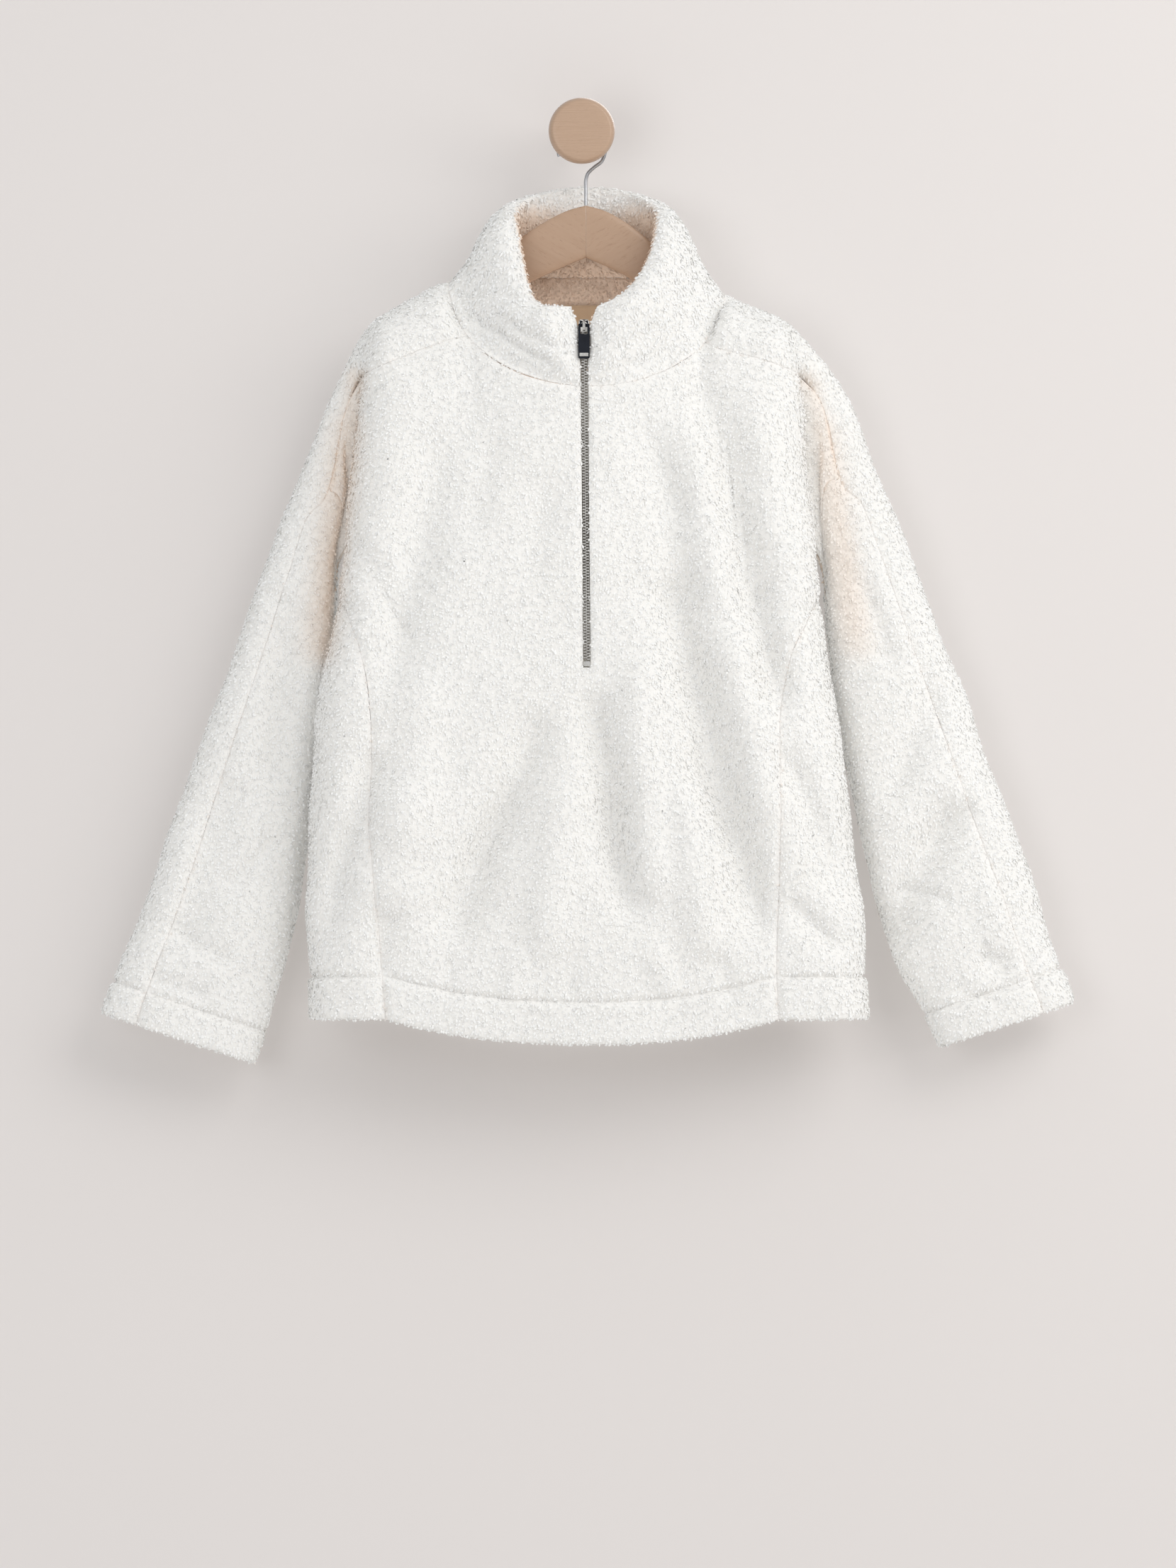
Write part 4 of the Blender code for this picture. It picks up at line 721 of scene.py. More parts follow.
# %% [markdown]
# Each panel is a thin closed shell. The patches are welded, every point gets a normal, and the
# outer face is the inner one moved out along it. The cloth is thin in a seam and full beside it,
# it is double in the turned hems with a groove at their stitches, and open edges are rolled. How
# near a point is to a seam or an edge stays on the mesh as an attribute, for its colour.

# %% Shells
CLOTH = 3.2             # thickness under the pile
SEAM_CLOTH = 1.5        # thickness in a seam
SEAM_ROOM = 8.0         # how far from a seam the cloth is full again
SEAM_GAP = 0.02         # how far a sewn border draws in, so that two panels stay apart
SEAM_MARK = 3.2         # how far from a seam its colour reaches
HEM_EXTRA = 1.5         # what the turned hem adds
HEM_HEIGHT = 35.5       # from the hem's edge up to its stitches
STITCH_CLOTH = 1.2      # thickness under the stitches
STITCH_HALF = 2.2       # half width of their groove
HEM_PILE = 12.0         # how far the pile goes on round an open edge
EDGE_ROLL = 0.3         # the least share of the thickness that an open edge keeps


def weld(patches):
    """Patches as one mesh: equal points merged, and quads split along their shorter diagonal. A
    patch is turned over if it doesn't face the way given with it, or away from its middle."""
    points, quads, start = [], [], 0
    for patch, facing in patches:
        patch = patch[..., :3]
        index = start + np.arange(patch.shape[0] * patch.shape[1]).reshape(patch.shape[:2])
        corners = (index[:-1, :-1], index[1:, :-1], index[1:, 1:], index[:-1, 1:])
        quad = np.stack(corners, axis=-1).reshape(-1, 4)
        flat = patch.reshape(-1, 3)
        one, two = flat[quad[:, 2] - start], flat[quad[:, 3] - start]
        normal = np.cross(one - flat[quad[:, 0] - start], two - flat[quad[:, 1] - start])
        away = (one + two) / 2 - flat.mean(axis=0) if facing is None else np.array(facing)
        quads.append(quad[:, ::-1] if (normal * away).sum() < 0 else quad)
        points.append(flat)
        start += len(flat)
    points, quads = np.concatenate(points), np.concatenate(quads)
    _, first, same = np.unique(np.round(points, 2), axis=0, return_index=True, return_inverse=True)
    points, quads = points[first], same.reshape(-1)[quads]
    a, b, c, d = (points[quads[:, i]] for i in range(4))
    short = np.linalg.norm(a - c, axis=1) <= np.linalg.norm(b - d, axis=1)
    tris = np.concatenate([
        quads[short][:, [0, 1, 2]], quads[short][:, [0, 2, 3]],
        quads[~short][:, [0, 1, 3]], quads[~short][:, [1, 2, 3]],
    ])
    whole = (tris[:, 0] != tris[:, 1]) & (tris[:, 1] != tris[:, 2]) & (tris[:, 2] != tris[:, 0])
    return points, tris[whole]


def point_normals(points, tris):
    """Normals of the faces round each point, added up by area and cut to length 1."""
    a, b, c = (points[tris[:, i]] for i in range(3))
    face = np.cross(b - a, c - a)
    total = np.zeros_like(points)
    for corner in range(3):
        np.add.at(total, tris[:, corner], face)
    return unit(total)


def border_edges(tris, count):
    """Edges that only one face has, in that face's direction."""
    edges = np.concatenate([tris[:, [0, 1]], tris[:, [1, 2]], tris[:, [2, 0]]])
    code = edges[:, 0].astype(np.int64) * count + edges[:, 1]
    back = edges[:, 1].astype(np.int64) * count + edges[:, 0]
    return edges[~np.isin(code, back)]


def distance(points, lines):
    """From each point to the nearest point of the lines."""
    if not lines:
        return np.full(len(points), 1e3)
    marks = np.concatenate([line[:, :3] for line in lines])
    parts = np.array_split(points, max(1, len(points) // 1500))
    return np.concatenate([
        np.sqrt(((part[:, None] - marks[None]) ** 2).sum(axis=-1).min(axis=1)) for part in parts
    ])


def put_mesh(name, points, faces, look, values=(), sharp=None):
    """An object at the origin from points in millimetres, with values kept on its points."""
    mesh = bpy.data.meshes.new(name)
    faces = np.asarray(faces)
    mesh.from_pydata(points * MM, [], faces.tolist())
    mesh.update()
    mesh.shade_smooth()
    if sharp:
        mesh.set_sharp_from_angle(angle=math.radians(sharp))
    for word, array in dict(values).items():
        mesh.attributes.new(word, "FLOAT", "POINT").data.foreach_set("value", array)
    mesh.materials.append(look)
    piece = bpy.data.objects.new(name, mesh)
    bpy.context.scene.collection.objects.link(piece)
    return piece


RECESS_SHADE_Y = -42.0         # behind this the recesses are in the light again, and no shade is painted
RECESS_SHADE_LINES = (
    # lines down the armholes' recesses, where shade is painted in peach: x z, x z, reach, share
    (-200, -252, -224, -440, 14, 0.85), (206, -256, 234, -436, 13, 0.75),
    (-190, -204, -198, -250, 8, 0.6), (191, -206, 205, -254, 8, 0.55),
)


def recess_shade(points, normals):
    """How much shade is painted in peach in the armholes' recesses: bells across a few lines, and
    full on what faces sideways.
    """
    deep = fold_depth(points, [line[:5] + (1.0,) for line in RECESS_SHADE_LINES])
    share = fold_depth(points, RECESS_SHADE_LINES) / np.maximum(deep, 1e-3) * np.minimum(deep, 1)
    aside = mix(0.55, 1.0, smooth((np.abs(normals[:, 0]) - 0.15) / 0.5))
    return share * aside * smooth((RECESS_SHADE_Y - points[:, 1]) / 18)


def shell(name, patches, seams, edges, look, stitch=None, thick=None, inside=None, warm=recess_shade):
    """A closed wall on the welded patches: its outer face stands off along the normals by the
    thickness, and the border is walled up. Returns the piece and what its pile stands on: the
    wall's points, the faces that have pile, the normals, and the room to the nearest seam."""
    points, tris = weld(patches)
    normals = point_normals(points, tris)
    to_seam, to_edge = distance(points, seams), distance(points, edges)
    points = points + normals * swell(points)[:, None]
    border = border_edges(tris, len(points))
    inward = np.zeros_like(points)
    middle = points[tris].mean(axis=1)
    for corner in range(3):
        np.add.at(inward, tris[:, corner], middle - points[tris[:, corner]])
    inward -= normals * (inward * normals).sum(axis=1, keepdims=True)
    on_border = np.zeros(len(points))
    on_border[border.ravel()] = 1
    points = points + unit(inward) * (SEAM_GAP * on_border * (to_seam < 0.6))[:, None]
    full = np.full(len(points), CLOTH) if thick is None else thick(points, to_seam, to_edge)
    groove = np.zeros(len(points))
    if stitch:
        full = full + HEM_EXTRA * smooth((stitch + 2 - to_edge) / 4)
        groove = np.exp(-(((to_edge - stitch) / STITCH_HALF) ** 2))
        full = full - (CLOTH + HEM_EXTRA - STITCH_CLOTH) * groove
    full = mix(SEAM_CLOTH, full, smooth(to_seam / SEAM_ROOM) ** 0.7)
    roll = np.clip(to_edge / np.maximum(full, 2.0), 0, 1)
    roll = np.maximum(EDGE_ROLL, np.sqrt(1 - (1 - roll) ** 2))
    outer = points + normals * (full * (0.5 + 0.5 * roll))[:, None]
    inner = points + normals * (full * 0.5 * (1 - roll))[:, None]
    count = len(points)
    a, b = border[:, 0], border[:, 1]
    walls = np.concatenate([
        np.stack([b, a, a + count], axis=1), np.stack([b, a + count, b + count], axis=1),
    ])
    faces = np.concatenate([tris, tris[:, ::-1] + count, walls])
    sewn = np.maximum(1 - to_seam / SEAM_MARK, 0)
    wall = np.concatenate([outer, inner])
    around = point_normals(wall, faces)
    values = {
        "seam": np.concatenate([np.maximum(sewn, 0.7 * groove)] * 2).astype(np.float32),
        # painted shade: the peach tint in the recesses and inside the neck and collar
        "warm": warm(wall, around).astype(np.float32),
    }
    piece = put_mesh(name, wall, faces, look, values)
    room = np.minimum(to_seam, 0.8 + 2 * np.abs(to_edge - stitch) if stitch else 1e3)
    covered = to_edge < HEM_PILE if inside is None else inside(points)
    covered = np.concatenate([np.ones(count, bool), covered])
    piled = faces[covered[faces].all(axis=1)]
    print(f"{name}: {len(faces)} triangles, {half_surface(piece):.4f} square metres")
    return piece, (wall, piled, around, np.concatenate([room] * 2))


def half_surface(piece):
    """Half of a closed shell's surface, in square metres."""
    faces = piece.data.polygons
    area = np.zeros(len(faces))
    faces.foreach_get("area", area)
    return area.sum() / 2


# %% [markdown]
# Sherpa pile is spun from crimped fibre that felts into small curls. The two finishes below share
# one node group that gives a mottled tone from noise in Object coordinates. The cloth under the
# pile is a little darker than the curls, partly as painted shade for the light that the pile
# keeps off it. Both turn to one peach colour by the attribute that the meshes carry: that is
# painted shade, in the armholes' recesses and inside the neck and collar, and on the curls it also
# holds a tint by the seams.

# %% Finishes of the fleece


def group(name, inputs, outputs):
    """An empty node group with named sockets: (name, type, start value)."""
    tree = bpy.data.node_groups.new(name, "ShaderNodeTree")
    for word, kind, value in inputs:
        socket = tree.interface.new_socket(word, in_out="INPUT", socket_type="NodeSocket" + kind)
        socket.default_value = value
    for word, kind in outputs:
        tree.interface.new_socket(word, in_out="OUTPUT", socket_type="NodeSocket" + kind)
    return tree, tree.nodes.new("NodeGroupInput"), tree.nodes.new("NodeGroupOutput")


def node(tree, kind, links=None, **settings):
    """A node with its settings, and links or values for its inputs by name or place."""
    made = tree.nodes.new("ShaderNode" + kind)
    for word, value in settings.items():
        setattr(made, word, value)
    for key, value in (links or {}).items():
        if isinstance(value, bpy.types.NodeSocket):
            tree.links.new(value, made.inputs[key])
        else:
            made.inputs[key].default_value = value
    return made


def blend_colours(tree, share, one, two):
    """A colour mixed from two, at a share that may be a socket."""
    return node(tree, "Mix", {0: share, 6: one, 7: two}, data_type="RGBA").outputs[2]


def sums(tree, way, one, two):
    """One operation on two values, either of which may be a socket."""
    return node(tree, "Math", {0: one, 1: two}, operation=way).outputs[0]


def weighed(tree, one, share, two, rest):
    """Two values, each times its own share, added up."""
    return sums(tree, "ADD", sums(tree, "MULTIPLY", one, share), sums(tree, "MULTIPLY", two, rest))


def make_tufts():
    """Tone: broad and small noise together. Height: small rounded lumps, for a bump."""
    tree, given, out = group("tufts", (
        ("Scale", "Float", 150.0), ("Warp", "Float", 0.4),
    ), (("Tone", "Float"), ("Height", "Float")))
    place = node(tree, "TexCoord").outputs["Object"]
    broad = node(tree, "TexNoise", {"Vector": place, "Scale": 14.0, "Detail": 3.0})
    small = node(tree, "TexNoise", {
        "Vector": place, "Scale": given.outputs["Scale"], "Detail": 4.0, "Roughness": 0.6,
        "Distortion": given.outputs["Warp"],
    })
    lumps = node(tree, "TexVoronoi", {
        "Vector": place, "Scale": given.outputs["Scale"], "Randomness": 1.0,
    }, feature="SMOOTH_F1")
    tone = weighed(tree, broad.outputs[0], 0.4, small.outputs[0], 0.6)
    height = sums(tree, "SUBTRACT", small.outputs[0], lumps.outputs["Distance"])
    tree.links.new(tone, out.inputs["Tone"])
    tree.links.new(height, out.inputs["Height"])
    return tree


TUFTS = make_tufts()


def finish(name, roughness=0.5, metallic=0.0, sheen=0.0, coat=0.0):
    """A material with its Principled shader's plain numbers set on its own sockets."""
    made = bpy.data.materials.new(name)
    made.use_nodes = True
    shader = made.node_tree.nodes["Principled BSDF"]
    values = {
        "Roughness": roughness, "Metallic": metallic, "Sheen Weight": sheen,
        "Coat Weight": coat,
    }
    for word, value in values.items():
        shader.inputs[word].default_value = value
    return made, made.node_tree, shader


def use(tree, made_group, **values):
    """A shared group placed in a material, with plain values for its inputs."""
    placed = tree.nodes.new("ShaderNodeGroup")
    placed.node_tree = made_group
    for word, value in values.items():
        placed.inputs[word].default_value = value
    return placed


def add_bump(tree, shader, height, strength, reach):
    """Turns the shader's normal by the slope of a height, at a strength and over a reach."""
    bump = node(tree, "Bump", {"Height": height, "Strength": strength, "Distance": reach})
    tree.links.new(bump.outputs["Normal"], shader.inputs["Normal"])


def attribute(tree, name):
    """A value that the mesh keeps on its points."""
    return node(tree, "Attribute", attribute_name=name).outputs["Fac"]


def scaled(tree, value, low, high):
    """A value of 0 to 1 brought to low to high."""
    return node(tree, "MapRange", {"Value": value, "To Min": low, "To Max": high}).outputs[0]


# the cloth's darker tone: partly painted shade under the pile, and mottled at random with the paler
# one; curls take some of it at random too
FLEECE_DEEP = (0.88, 0.86, 0.82, 1)
FLEECE_PALE = (0.95, 0.94, 0.92, 1)
SEWN = (0.95, 0.93, 0.90, 1)
# painted shade: the peach of the armholes' recesses and of the inside of the neck and collar; on
# the curls also the seams' own tint
SHADE_AND_SEAM_PEACH = (0.87, 0.71, 0.58, 1)
# painted light: a curl's foot, in the shade of the others, is painted paler than its lit tip
CURL_FOOT_PAINTED_PALE = (0.97, 0.965, 0.95, 1)
CURL_TIP_PAINTED_DIM = (0.95, 0.95, 0.94, 1)


def make_fleece():
    """The cloth under the pile: two tones by the noise, paler in a seam, and painted shade in peach
    by its value.
    """
    made, tree, shader = finish("fleece_ground", 0.95, sheen=0.2)
    tufts = use(tree, TUFTS, Scale=190.0)
    ground = blend_colours(tree, tufts.outputs["Tone"], FLEECE_DEEP, FLEECE_PALE)
    ground = blend_colours(tree, attribute(tree, "seam"), ground, SEWN)
    ground = blend_colours(tree, attribute(tree, "warm"), ground, SHADE_AND_SEAM_PEACH)
    tree.links.new(ground, shader.inputs["Base Color"])
    add_bump(tree, shader, tufts.outputs["Height"], 0.7, 0.0016)
    return made


def make_curls():
    """The pile: a little paler at the foot than at the tip, which is painted light against the
    shade that the curls cast on their feet; mottled a little by curl and by place, and peach by its
    value, which is painted shade in the recesses and the seams' own tint, with a bump of sine waves
    across each leaf for its strands."""
    made, tree, shader = finish("fleece_pile", 0.9)
    tufts = use(tree, TUFTS, Scale=420.0)
    colour = blend_colours(tree, attribute(tree, "tip"), CURL_FOOT_PAINTED_PALE, CURL_TIP_PAINTED_DIM)
    shade = scaled(tree, attribute(tree, "tone"), 0.0, 0.16)
    colour = blend_colours(tree, shade, colour, FLEECE_DEEP)
    mottle = scaled(tree, tufts.outputs["Tone"], 0.0, 0.14)
    colour = blend_colours(tree, mottle, colour, FLEECE_PALE)
    colour = blend_colours(tree, attribute(tree, "warm"), colour, SHADE_AND_SEAM_PEACH)
    tree.links.new(colour, shader.inputs["Base Color"])
    wavy = sums(tree, "MULTIPLY", tufts.outputs["Tone"], 9.0)
    turn = sums(tree, "ADD", sums(tree, "MULTIPLY", attribute(tree, "strand"), 9.0), wavy)
    add_bump(tree, shader, sums(tree, "SINE", turn, 0.0), 0.3, 0.0002)
    return made


FLEECE, CURLS = make_fleece(), make_curls()

# %% [markdown]
# The pile is real geometry: one joined mesh of small bent curls for every panel. A curl is a leaf
# of four points, a foot, two at its waist and a tip, so it costs only four triangles, and it bends
# because its waist stands off the line from foot to tip. The feet are spread by area, so the
# density is even, and the tips lean down the nap and gather into small tufts, as crimped fibre
# does. The leaves are wide, lie low and overlap, and each is shaded flat: that reads as felted
# wool, where thin upright ones read as grass. In a seam the curls are shorter, and some are warm.

# %% Pile
NAP = np.array((0.0, 0.0, -1.0))
PILE_AREA = 5.1         # square millimetres to a curl
CURL_CELL = 5.0         # how far apart the gathered tips are
CURL_LENGTH = (3.2, 5.2)
CURL_RADIUS = (0.75, 1.15)      # half the width of a waist
LIFT = 1.3              # about how far a tip rises off the cloth
ROLL = 0.36             # how much a leaf leans over to one side, at random
GATHERED = 0.48         # how far tips draw together, of the way to their middle
SEAM_PILE = 0.7         # the pile's length in a seam, beside 1 away from it
SEAM_REACH = 6.0        # how far from a seam the pile is full again
SEAM_TINT = 0.45        # the warmest that a seam makes a curl
SEAM_TINT_REACH = 2.6   # and how far from the seam
LEAF = np.array(((0, 1, 2), (0, 2, 3), (0, 3, 1), (1, 3, 2)))
draws = np.random.default_rng(20)


def spread_feet(corners, area, count):
    """Evenly spread places: equal steps of area along the faces, each shaken within its step,
    and a random place in that face. Gives the faces and the corners' shares."""
    total = np.cumsum(area)
    at = (np.arange(count) + draws.random(count)) * total[-1] / count
    face = np.minimum(np.searchsorted(total, at), len(area) - 1)
    u, v = draws.random(count), draws.random(count)
    over = u + v > 1
    u, v = np.where(over, 1 - u, u), np.where(over, 1 - v, v)
    return corners[face], np.stack([1 - u - v, u, v], axis=1)


def gather(points, cell):
    """The middle of the group that each point is in: groups are the cells of a warped lattice."""
    warp = np.stack([
        np.sin(points[:, 2] * 0.31 + points[:, 1] * 0.23), np.sin(points[:, 0] * 0.27),
        np.sin(points[:, 0] * 0.35 + points[:, 1] * 0.19),
    ], axis=1) * cell * 0.6
    keys = np.floor((points + warp + draws.normal(0, cell * 0.12, points.shape)) / cell)
    _, owner = np.unique(keys.astype(int), axis=0, return_inverse=True)
    owner = owner.reshape(-1)
    members = np.bincount(owner).astype(float)
    middles = np.stack([np.bincount(owner, points[:, i]) / members for i in range(3)], axis=1)
    shake = draws.normal(0, 1.0, middles.shape)
    return middles[owner], shake[owner]


def pile(name, data, area=PILE_AREA, length=CURL_LENGTH, gathered=GATHERED, cell=CURL_CELL,
         bare=None, warm=recess_shade):
    """Leaves standing on a face. A leaf's foot is just under the face, its tip is up the normal
    and down the nap from it, and its waist is a line across, moved off along the normal."""
    wall, tris, normals, room = data
    a, b, c = (wall[tris[:, i]] for i in range(3))
    areas = np.linalg.norm(np.cross(b - a, c - a), axis=1) / 2
    corners, weights = spread_feet(tris, areas, int(areas.sum() / area))
    point = (wall[corners] * weights[..., None]).sum(axis=1)
    normal = unit((normals[corners] * weights[..., None]).sum(axis=1))
    near = (room[corners] * weights).sum(axis=1)
    if bare is not None:
        keep = ~bare(point, normal)
        point, normal, near = point[keep], normal[keep], near[keep]
    count = len(point)
    short = mix(SEAM_PILE, 1.0, smooth(near / SEAM_REACH))
    swirl = np.stack([
        np.sin(point[:, 2] * 0.043 + point[:, 0] * 0.021), 0 * near,
        0.4 * np.sin(point[:, 0] * 0.057 - point[:, 2] * 0.015),
    ], axis=1)
    lean = 0.6 * NAP + 0.5 * swirl + draws.normal(0, 1.0, (count, 3))
    lean = unit(lean - normal * (lean * normal).sum(axis=1, keepdims=True))
    side = np.cross(normal, lean)
    size = (draws.uniform(*length, count) * short)[:, None]
    rise = (LIFT * (0.4 + 0.75 * draws.random(count) ** 1.6) * short)[:, None]
    radius = (draws.uniform(*CURL_RADIUS, count) * (0.6 + 0.4 * short))[:, None]
    bend = draws.normal(0, 0.25, (count, 1)) * size
    tip = point + normal * rise * 0.9 + lean * size * 0.7 + side * bend
    middle, shake = gather(point, cell)
    middle = middle + NAP * cell * 0.6 + shake * cell * 0.22
    middle = middle + normal * (rise - ((middle - point) * normal).sum(axis=1, keepdims=True))
    pull = gathered * draws.uniform(0.5, 1.2, (count, 1))
    reach = np.clip(size / np.linalg.norm(middle - tip, axis=1, keepdims=True), 0, 1)
    tip = mix(tip, middle, pull * reach)
    waist = mix(point, tip, 0.5) + normal * rise * 0.2 + side * bend * 0.3
    foot = point - normal * 0.4
    across = unit(np.cross(tip - foot, normal + ROLL * side * draws.normal(0, 1, (count, 1))))
    points = np.stack([foot, waist - across * radius, waist + across * radius, tip], axis=1)
    points = points.reshape(-1, 3)
    seam_tint = SEAM_TINT * draws.random(count) * (1 - smooth(near / SEAM_TINT_REACH))
    faces = (LEAF[None] + 4 * np.arange(count)[:, None, None]).reshape(-1, 3)
    if volume_of(points[:400] - points[0], faces[:400]) < 0:
        faces = faces[:, ::-1]
    values = {
        "tip": np.tile((0, 0.6, 0.6, 1), count).astype(np.float32),
        "strand": np.tile((0, -1, 1, 0), count).astype(np.float32),
        "tone": np.repeat(draws.random(count), 4).astype(np.float32),
        # painted shade in the recesses, and the seams' own tint, whichever is more
        "warm": np.repeat(np.maximum(warm(point, normal), seam_tint), 4).astype(np.float32),
    }
    print(f"{name}: {count} curls, {len(faces)} triangles")
    piece = put_mesh(name, points, faces, CURLS, values)
    piece.data.shade_flat()
    return piece


def volume_of(points, faces):
    """Signed volume inside triangles: a sixth of the corners' triple products, added up."""
    a, b, c = (points[faces[:, i]] for i in range(3))
    return (a * np.cross(b, c)).sum() / 6


# %% [markdown]
# Now every panel is cut from its patches: which borders are sewn and which are open is told to
# the shell. The pile is laid on its outer face at once, and is kept in a list with its panel.

# %% Panels
PIECES = []
SLIT_CLOTH = 1.6        # the cloth's thickness where the zip is sewn in
HEM_LINE = back_fine[-1][:, [0, 2]]
NECK_LINED = (-290, 100)                # inner pile behind the neck: lowest z, half width
COLLAR_LINED = -205                     # the collar's inner face has pile above this
COLLAR_WALL = (0.78, 1.0)               # of the table's thickness, and less by what pile takes
COLLAR_SLIT = (2.0, 0.62)               # the most at the slit, and more per millimetre from it
COLLAR_LEAST = 1.2
CREASED_Y = -60                         # the collar's creases are in front of this
SLIDER_BARE = (5.9, -198, -160)         # without pile: half width, lowest and highest z
LABEL_DROP = (0.0, 0.0, -8.0)
LABEL_BURIED = 3.0      # how much of the label's top lies under the pile


def label_box():
    """The label's two corners in millimetres: those of its CAD node, a little lower."""
    return [np.array(corner) / MM + LABEL_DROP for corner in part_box("neck_label")]


def inner_warmth(points, normals):
    """Shade painted in peach on what faces forward inside the neck, the more so the deeper it lies,
    and the recesses' painted shade where that is more.
    """
    faces_in = smooth(-(normals[:, 1] + 0.1) / 0.5) * smooth((-62 - points[:, 2]) / 34)
    return np.maximum(0.9 * faces_in, recess_shade(points, normals))


def collar_warmth(points, normals):
    """Shade painted in peach where the collar faces its own middle, below the rim."""
    away = points - np.array((*NECK_MIDDLE, 0.0))
    inward = -(away[:, :2] * normals[:, :2]).sum(axis=1) / np.linalg.norm(away[:, :2], axis=1)
    aside = mix(0.2, 1.0, smooth((np.abs(points[:, 0] - NECK_MIDDLE[0]) - 8) / 32))
    high = aside * smooth((-54 - points[:, 2]) / 22)
    deep = smooth((-90 - points[:, 2]) / 18)
    return 0.95 * np.maximum(high, deep) * smooth((inward - 0.15) / 0.6)


def panel(name, nodes, patches, seams, edges, stitch=None, thick=None, inside=None, warm=recess_shade,
          **laid):
    """A panel with its pile, in the place of its CAD nodes."""
    piece, data = shell(name, patches, seams, edges, FLEECE, stitch, thick, inside, warm)
    fur = pile(name + "_pile", data, warm=warm, **laid)
    for part in (piece, fur):
        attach(part, BODY_NAME)
    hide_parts(*nodes)
    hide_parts(*nodes)
    PIECES.append([piece, [fur]])


def make_front():
    """The front from two halves, a bridge below the zip's slit, and the armholes' front pieces."""
    halves = [front_fine[side] for side in SIDES]
    low = [half[ZIP_ROWS:, 0] for half in halves]
    bridge = np.stack([mix(low[0], low[1], share) for share in (0, 0.3, 0.7, 1)], axis=1)
    holes = [sleeve_fine[side]["hole_front"] for side in SIDES]
    patches = [(part, (0, -1, 0)) for part in halves + [bridge] + holes]
    seams = [half[0] for half in halves] + [half[ARM_ROWS - 1:, -1] for half in halves]
    seams += [hole[-1] for hole in holes] + [hole[:, 0] for hole in holes]
    slit = [half[:ZIP_ROWS + 1, 0] for half in halves]
    hem = [half[-1] for half in halves] + [bridge[-1]]

    def thick(points, to_seam, to_edge):
        """Thin where the zip is sewn in, and full five millimetres from it."""
        return mix(SLIT_CLOTH, CLOTH, smooth(distance(points, slit) / 5))

    panel("fleece_front", ["front_panel"], patches, seams, hem, HEM_HEIGHT, thick)


def make_back():
    """The back with the armholes' back pieces, and pile inside the neck too, beside the label."""
    holes = [sleeve_fine[side]["hole_back"] for side in SIDES]
    patches = [(part, (0, 1, 0)) for part in [back_fine] + holes]
    seams = [back_fine[0], back_fine[ARM_ROWS - 1:, 0], back_fine[ARM_ROWS - 1:, -1]]
    seams += [hole[-1] for hole in holes] + [hole[:, -1] for hole in holes]
    low, high = label_box()

    def inside(points):
        """Where the inner face has pile: behind the neck's opening and just above the hem."""
        beside = np.abs(points[:, 0] - NECK_MIDDLE[0])
        neck = (points[:, 2] > NECK_LINED[0]) & (beside < NECK_LINED[1])
        return neck | (points[:, 2] < look(HEM_LINE, points[:, 0]) + HEM_PILE)

    def bare(points, normals):
        """The inner face under the label, but for the label's top."""
        within = (points[:, 0] > low[0]) & (points[:, 0] < high[0]) & (points[:, 2] > low[2])
        return within & (points[:, 2] < high[2] - LABEL_BURIED) & (normals[:, 1] < 0)

    panel(
        "fleece_back", ["back_panel"], patches, seams, [back_fine[-1]], HEM_HEIGHT,
        inside=inside, bare=bare, warm=inner_warmth,
    )


def make_sides(side, word):
    """One side of the garment: its side panel, its sleeve's front and back, and its saddle."""
    patch = side_fine[side]
    panel(
        "fleece_side_" + word, ["side_panel_" + word], [(patch, (side, 0, 0))],
        [patch[:, 0], patch[:, -1]], [patch[-1]], HEM_HEIGHT,
    )
    parts = sleeve_fine[side]
    for name, facing in (("front", -1), ("back", 1)):
        cut = parts[name]
        panel(
            f"fleece_sleeve_{name}_{word}",
            [f"sleeve_{name}_{word}_{wall}" for wall in ("upper", "lower")],
            [(cut, (0, facing, 0))], [cut[0], cut[:, 0], cut[:, -1]], [cut[-1]], parts["stitch"],
        )
    strip = parts["saddle"]
    panel(
        "fleece_saddle_" + word,
        [f"saddle_{word}_{wall}" for wall in ("shoulder", "elbow", "cuff")],
        [(strip, (side, 0, 1))],
        [strip[0], strip[:, 0], strip[:, -1]], [strip[-1]], parts["stitch"],
    )


def make_collar():
    """The collar, open at the rim and beside the zip, with longer curls than the panels have."""
    patch = collar_fine[..., :3]
    full = collar_fine[..., 3].reshape(-1)
    flat = np.round(patch.reshape(-1, 3), 2)

    def thick(points, to_seam, to_edge):
        """The table's thickness without its pile, thin by the slit, less the creases in front."""
        order = np.argmin(((points[:, None] - flat[None]) ** 2).sum(axis=-1), axis=1)
        slit = distance(points, [patch[:, 0], patch[:, -1]])
        wall = np.maximum(full[order] * COLLAR_WALL[0] - COLLAR_WALL[1], SLIT_CLOTH)
        wall = np.minimum(wall, COLLAR_SLIT[0] + COLLAR_SLIT[1] * slit)
        creases = fold_depth(points, COLLAR_CREASES) * (points[:, 1] < CREASED_Y)
        return np.maximum(wall - creases, COLLAR_LEAST)

    def beside_slider(points, normals):
        """A strip on both sides of the slider, at its heights."""
        aside = np.abs(points[:, 0] - zip_x(points[:, 2]))
        low, high = SLIDER_BARE[1:]
        return (aside < SLIDER_BARE[0]) & (points[:, 2] > low) & (points[:, 2] < high)

    edges = [patch[-1], patch[2:, 0], patch[2:, -1]]
    panel(
        "fleece_collar", ["collar"], [(patch, None)], [patch[0]], edges, None, thick,
        inside=lambda points: points[:, 2] > COLLAR_LINED, length=(4.6, 7.6), gathered=0.5,
        area=5.2, cell=6.0, bare=beside_slider, warm=collar_warmth,
    )


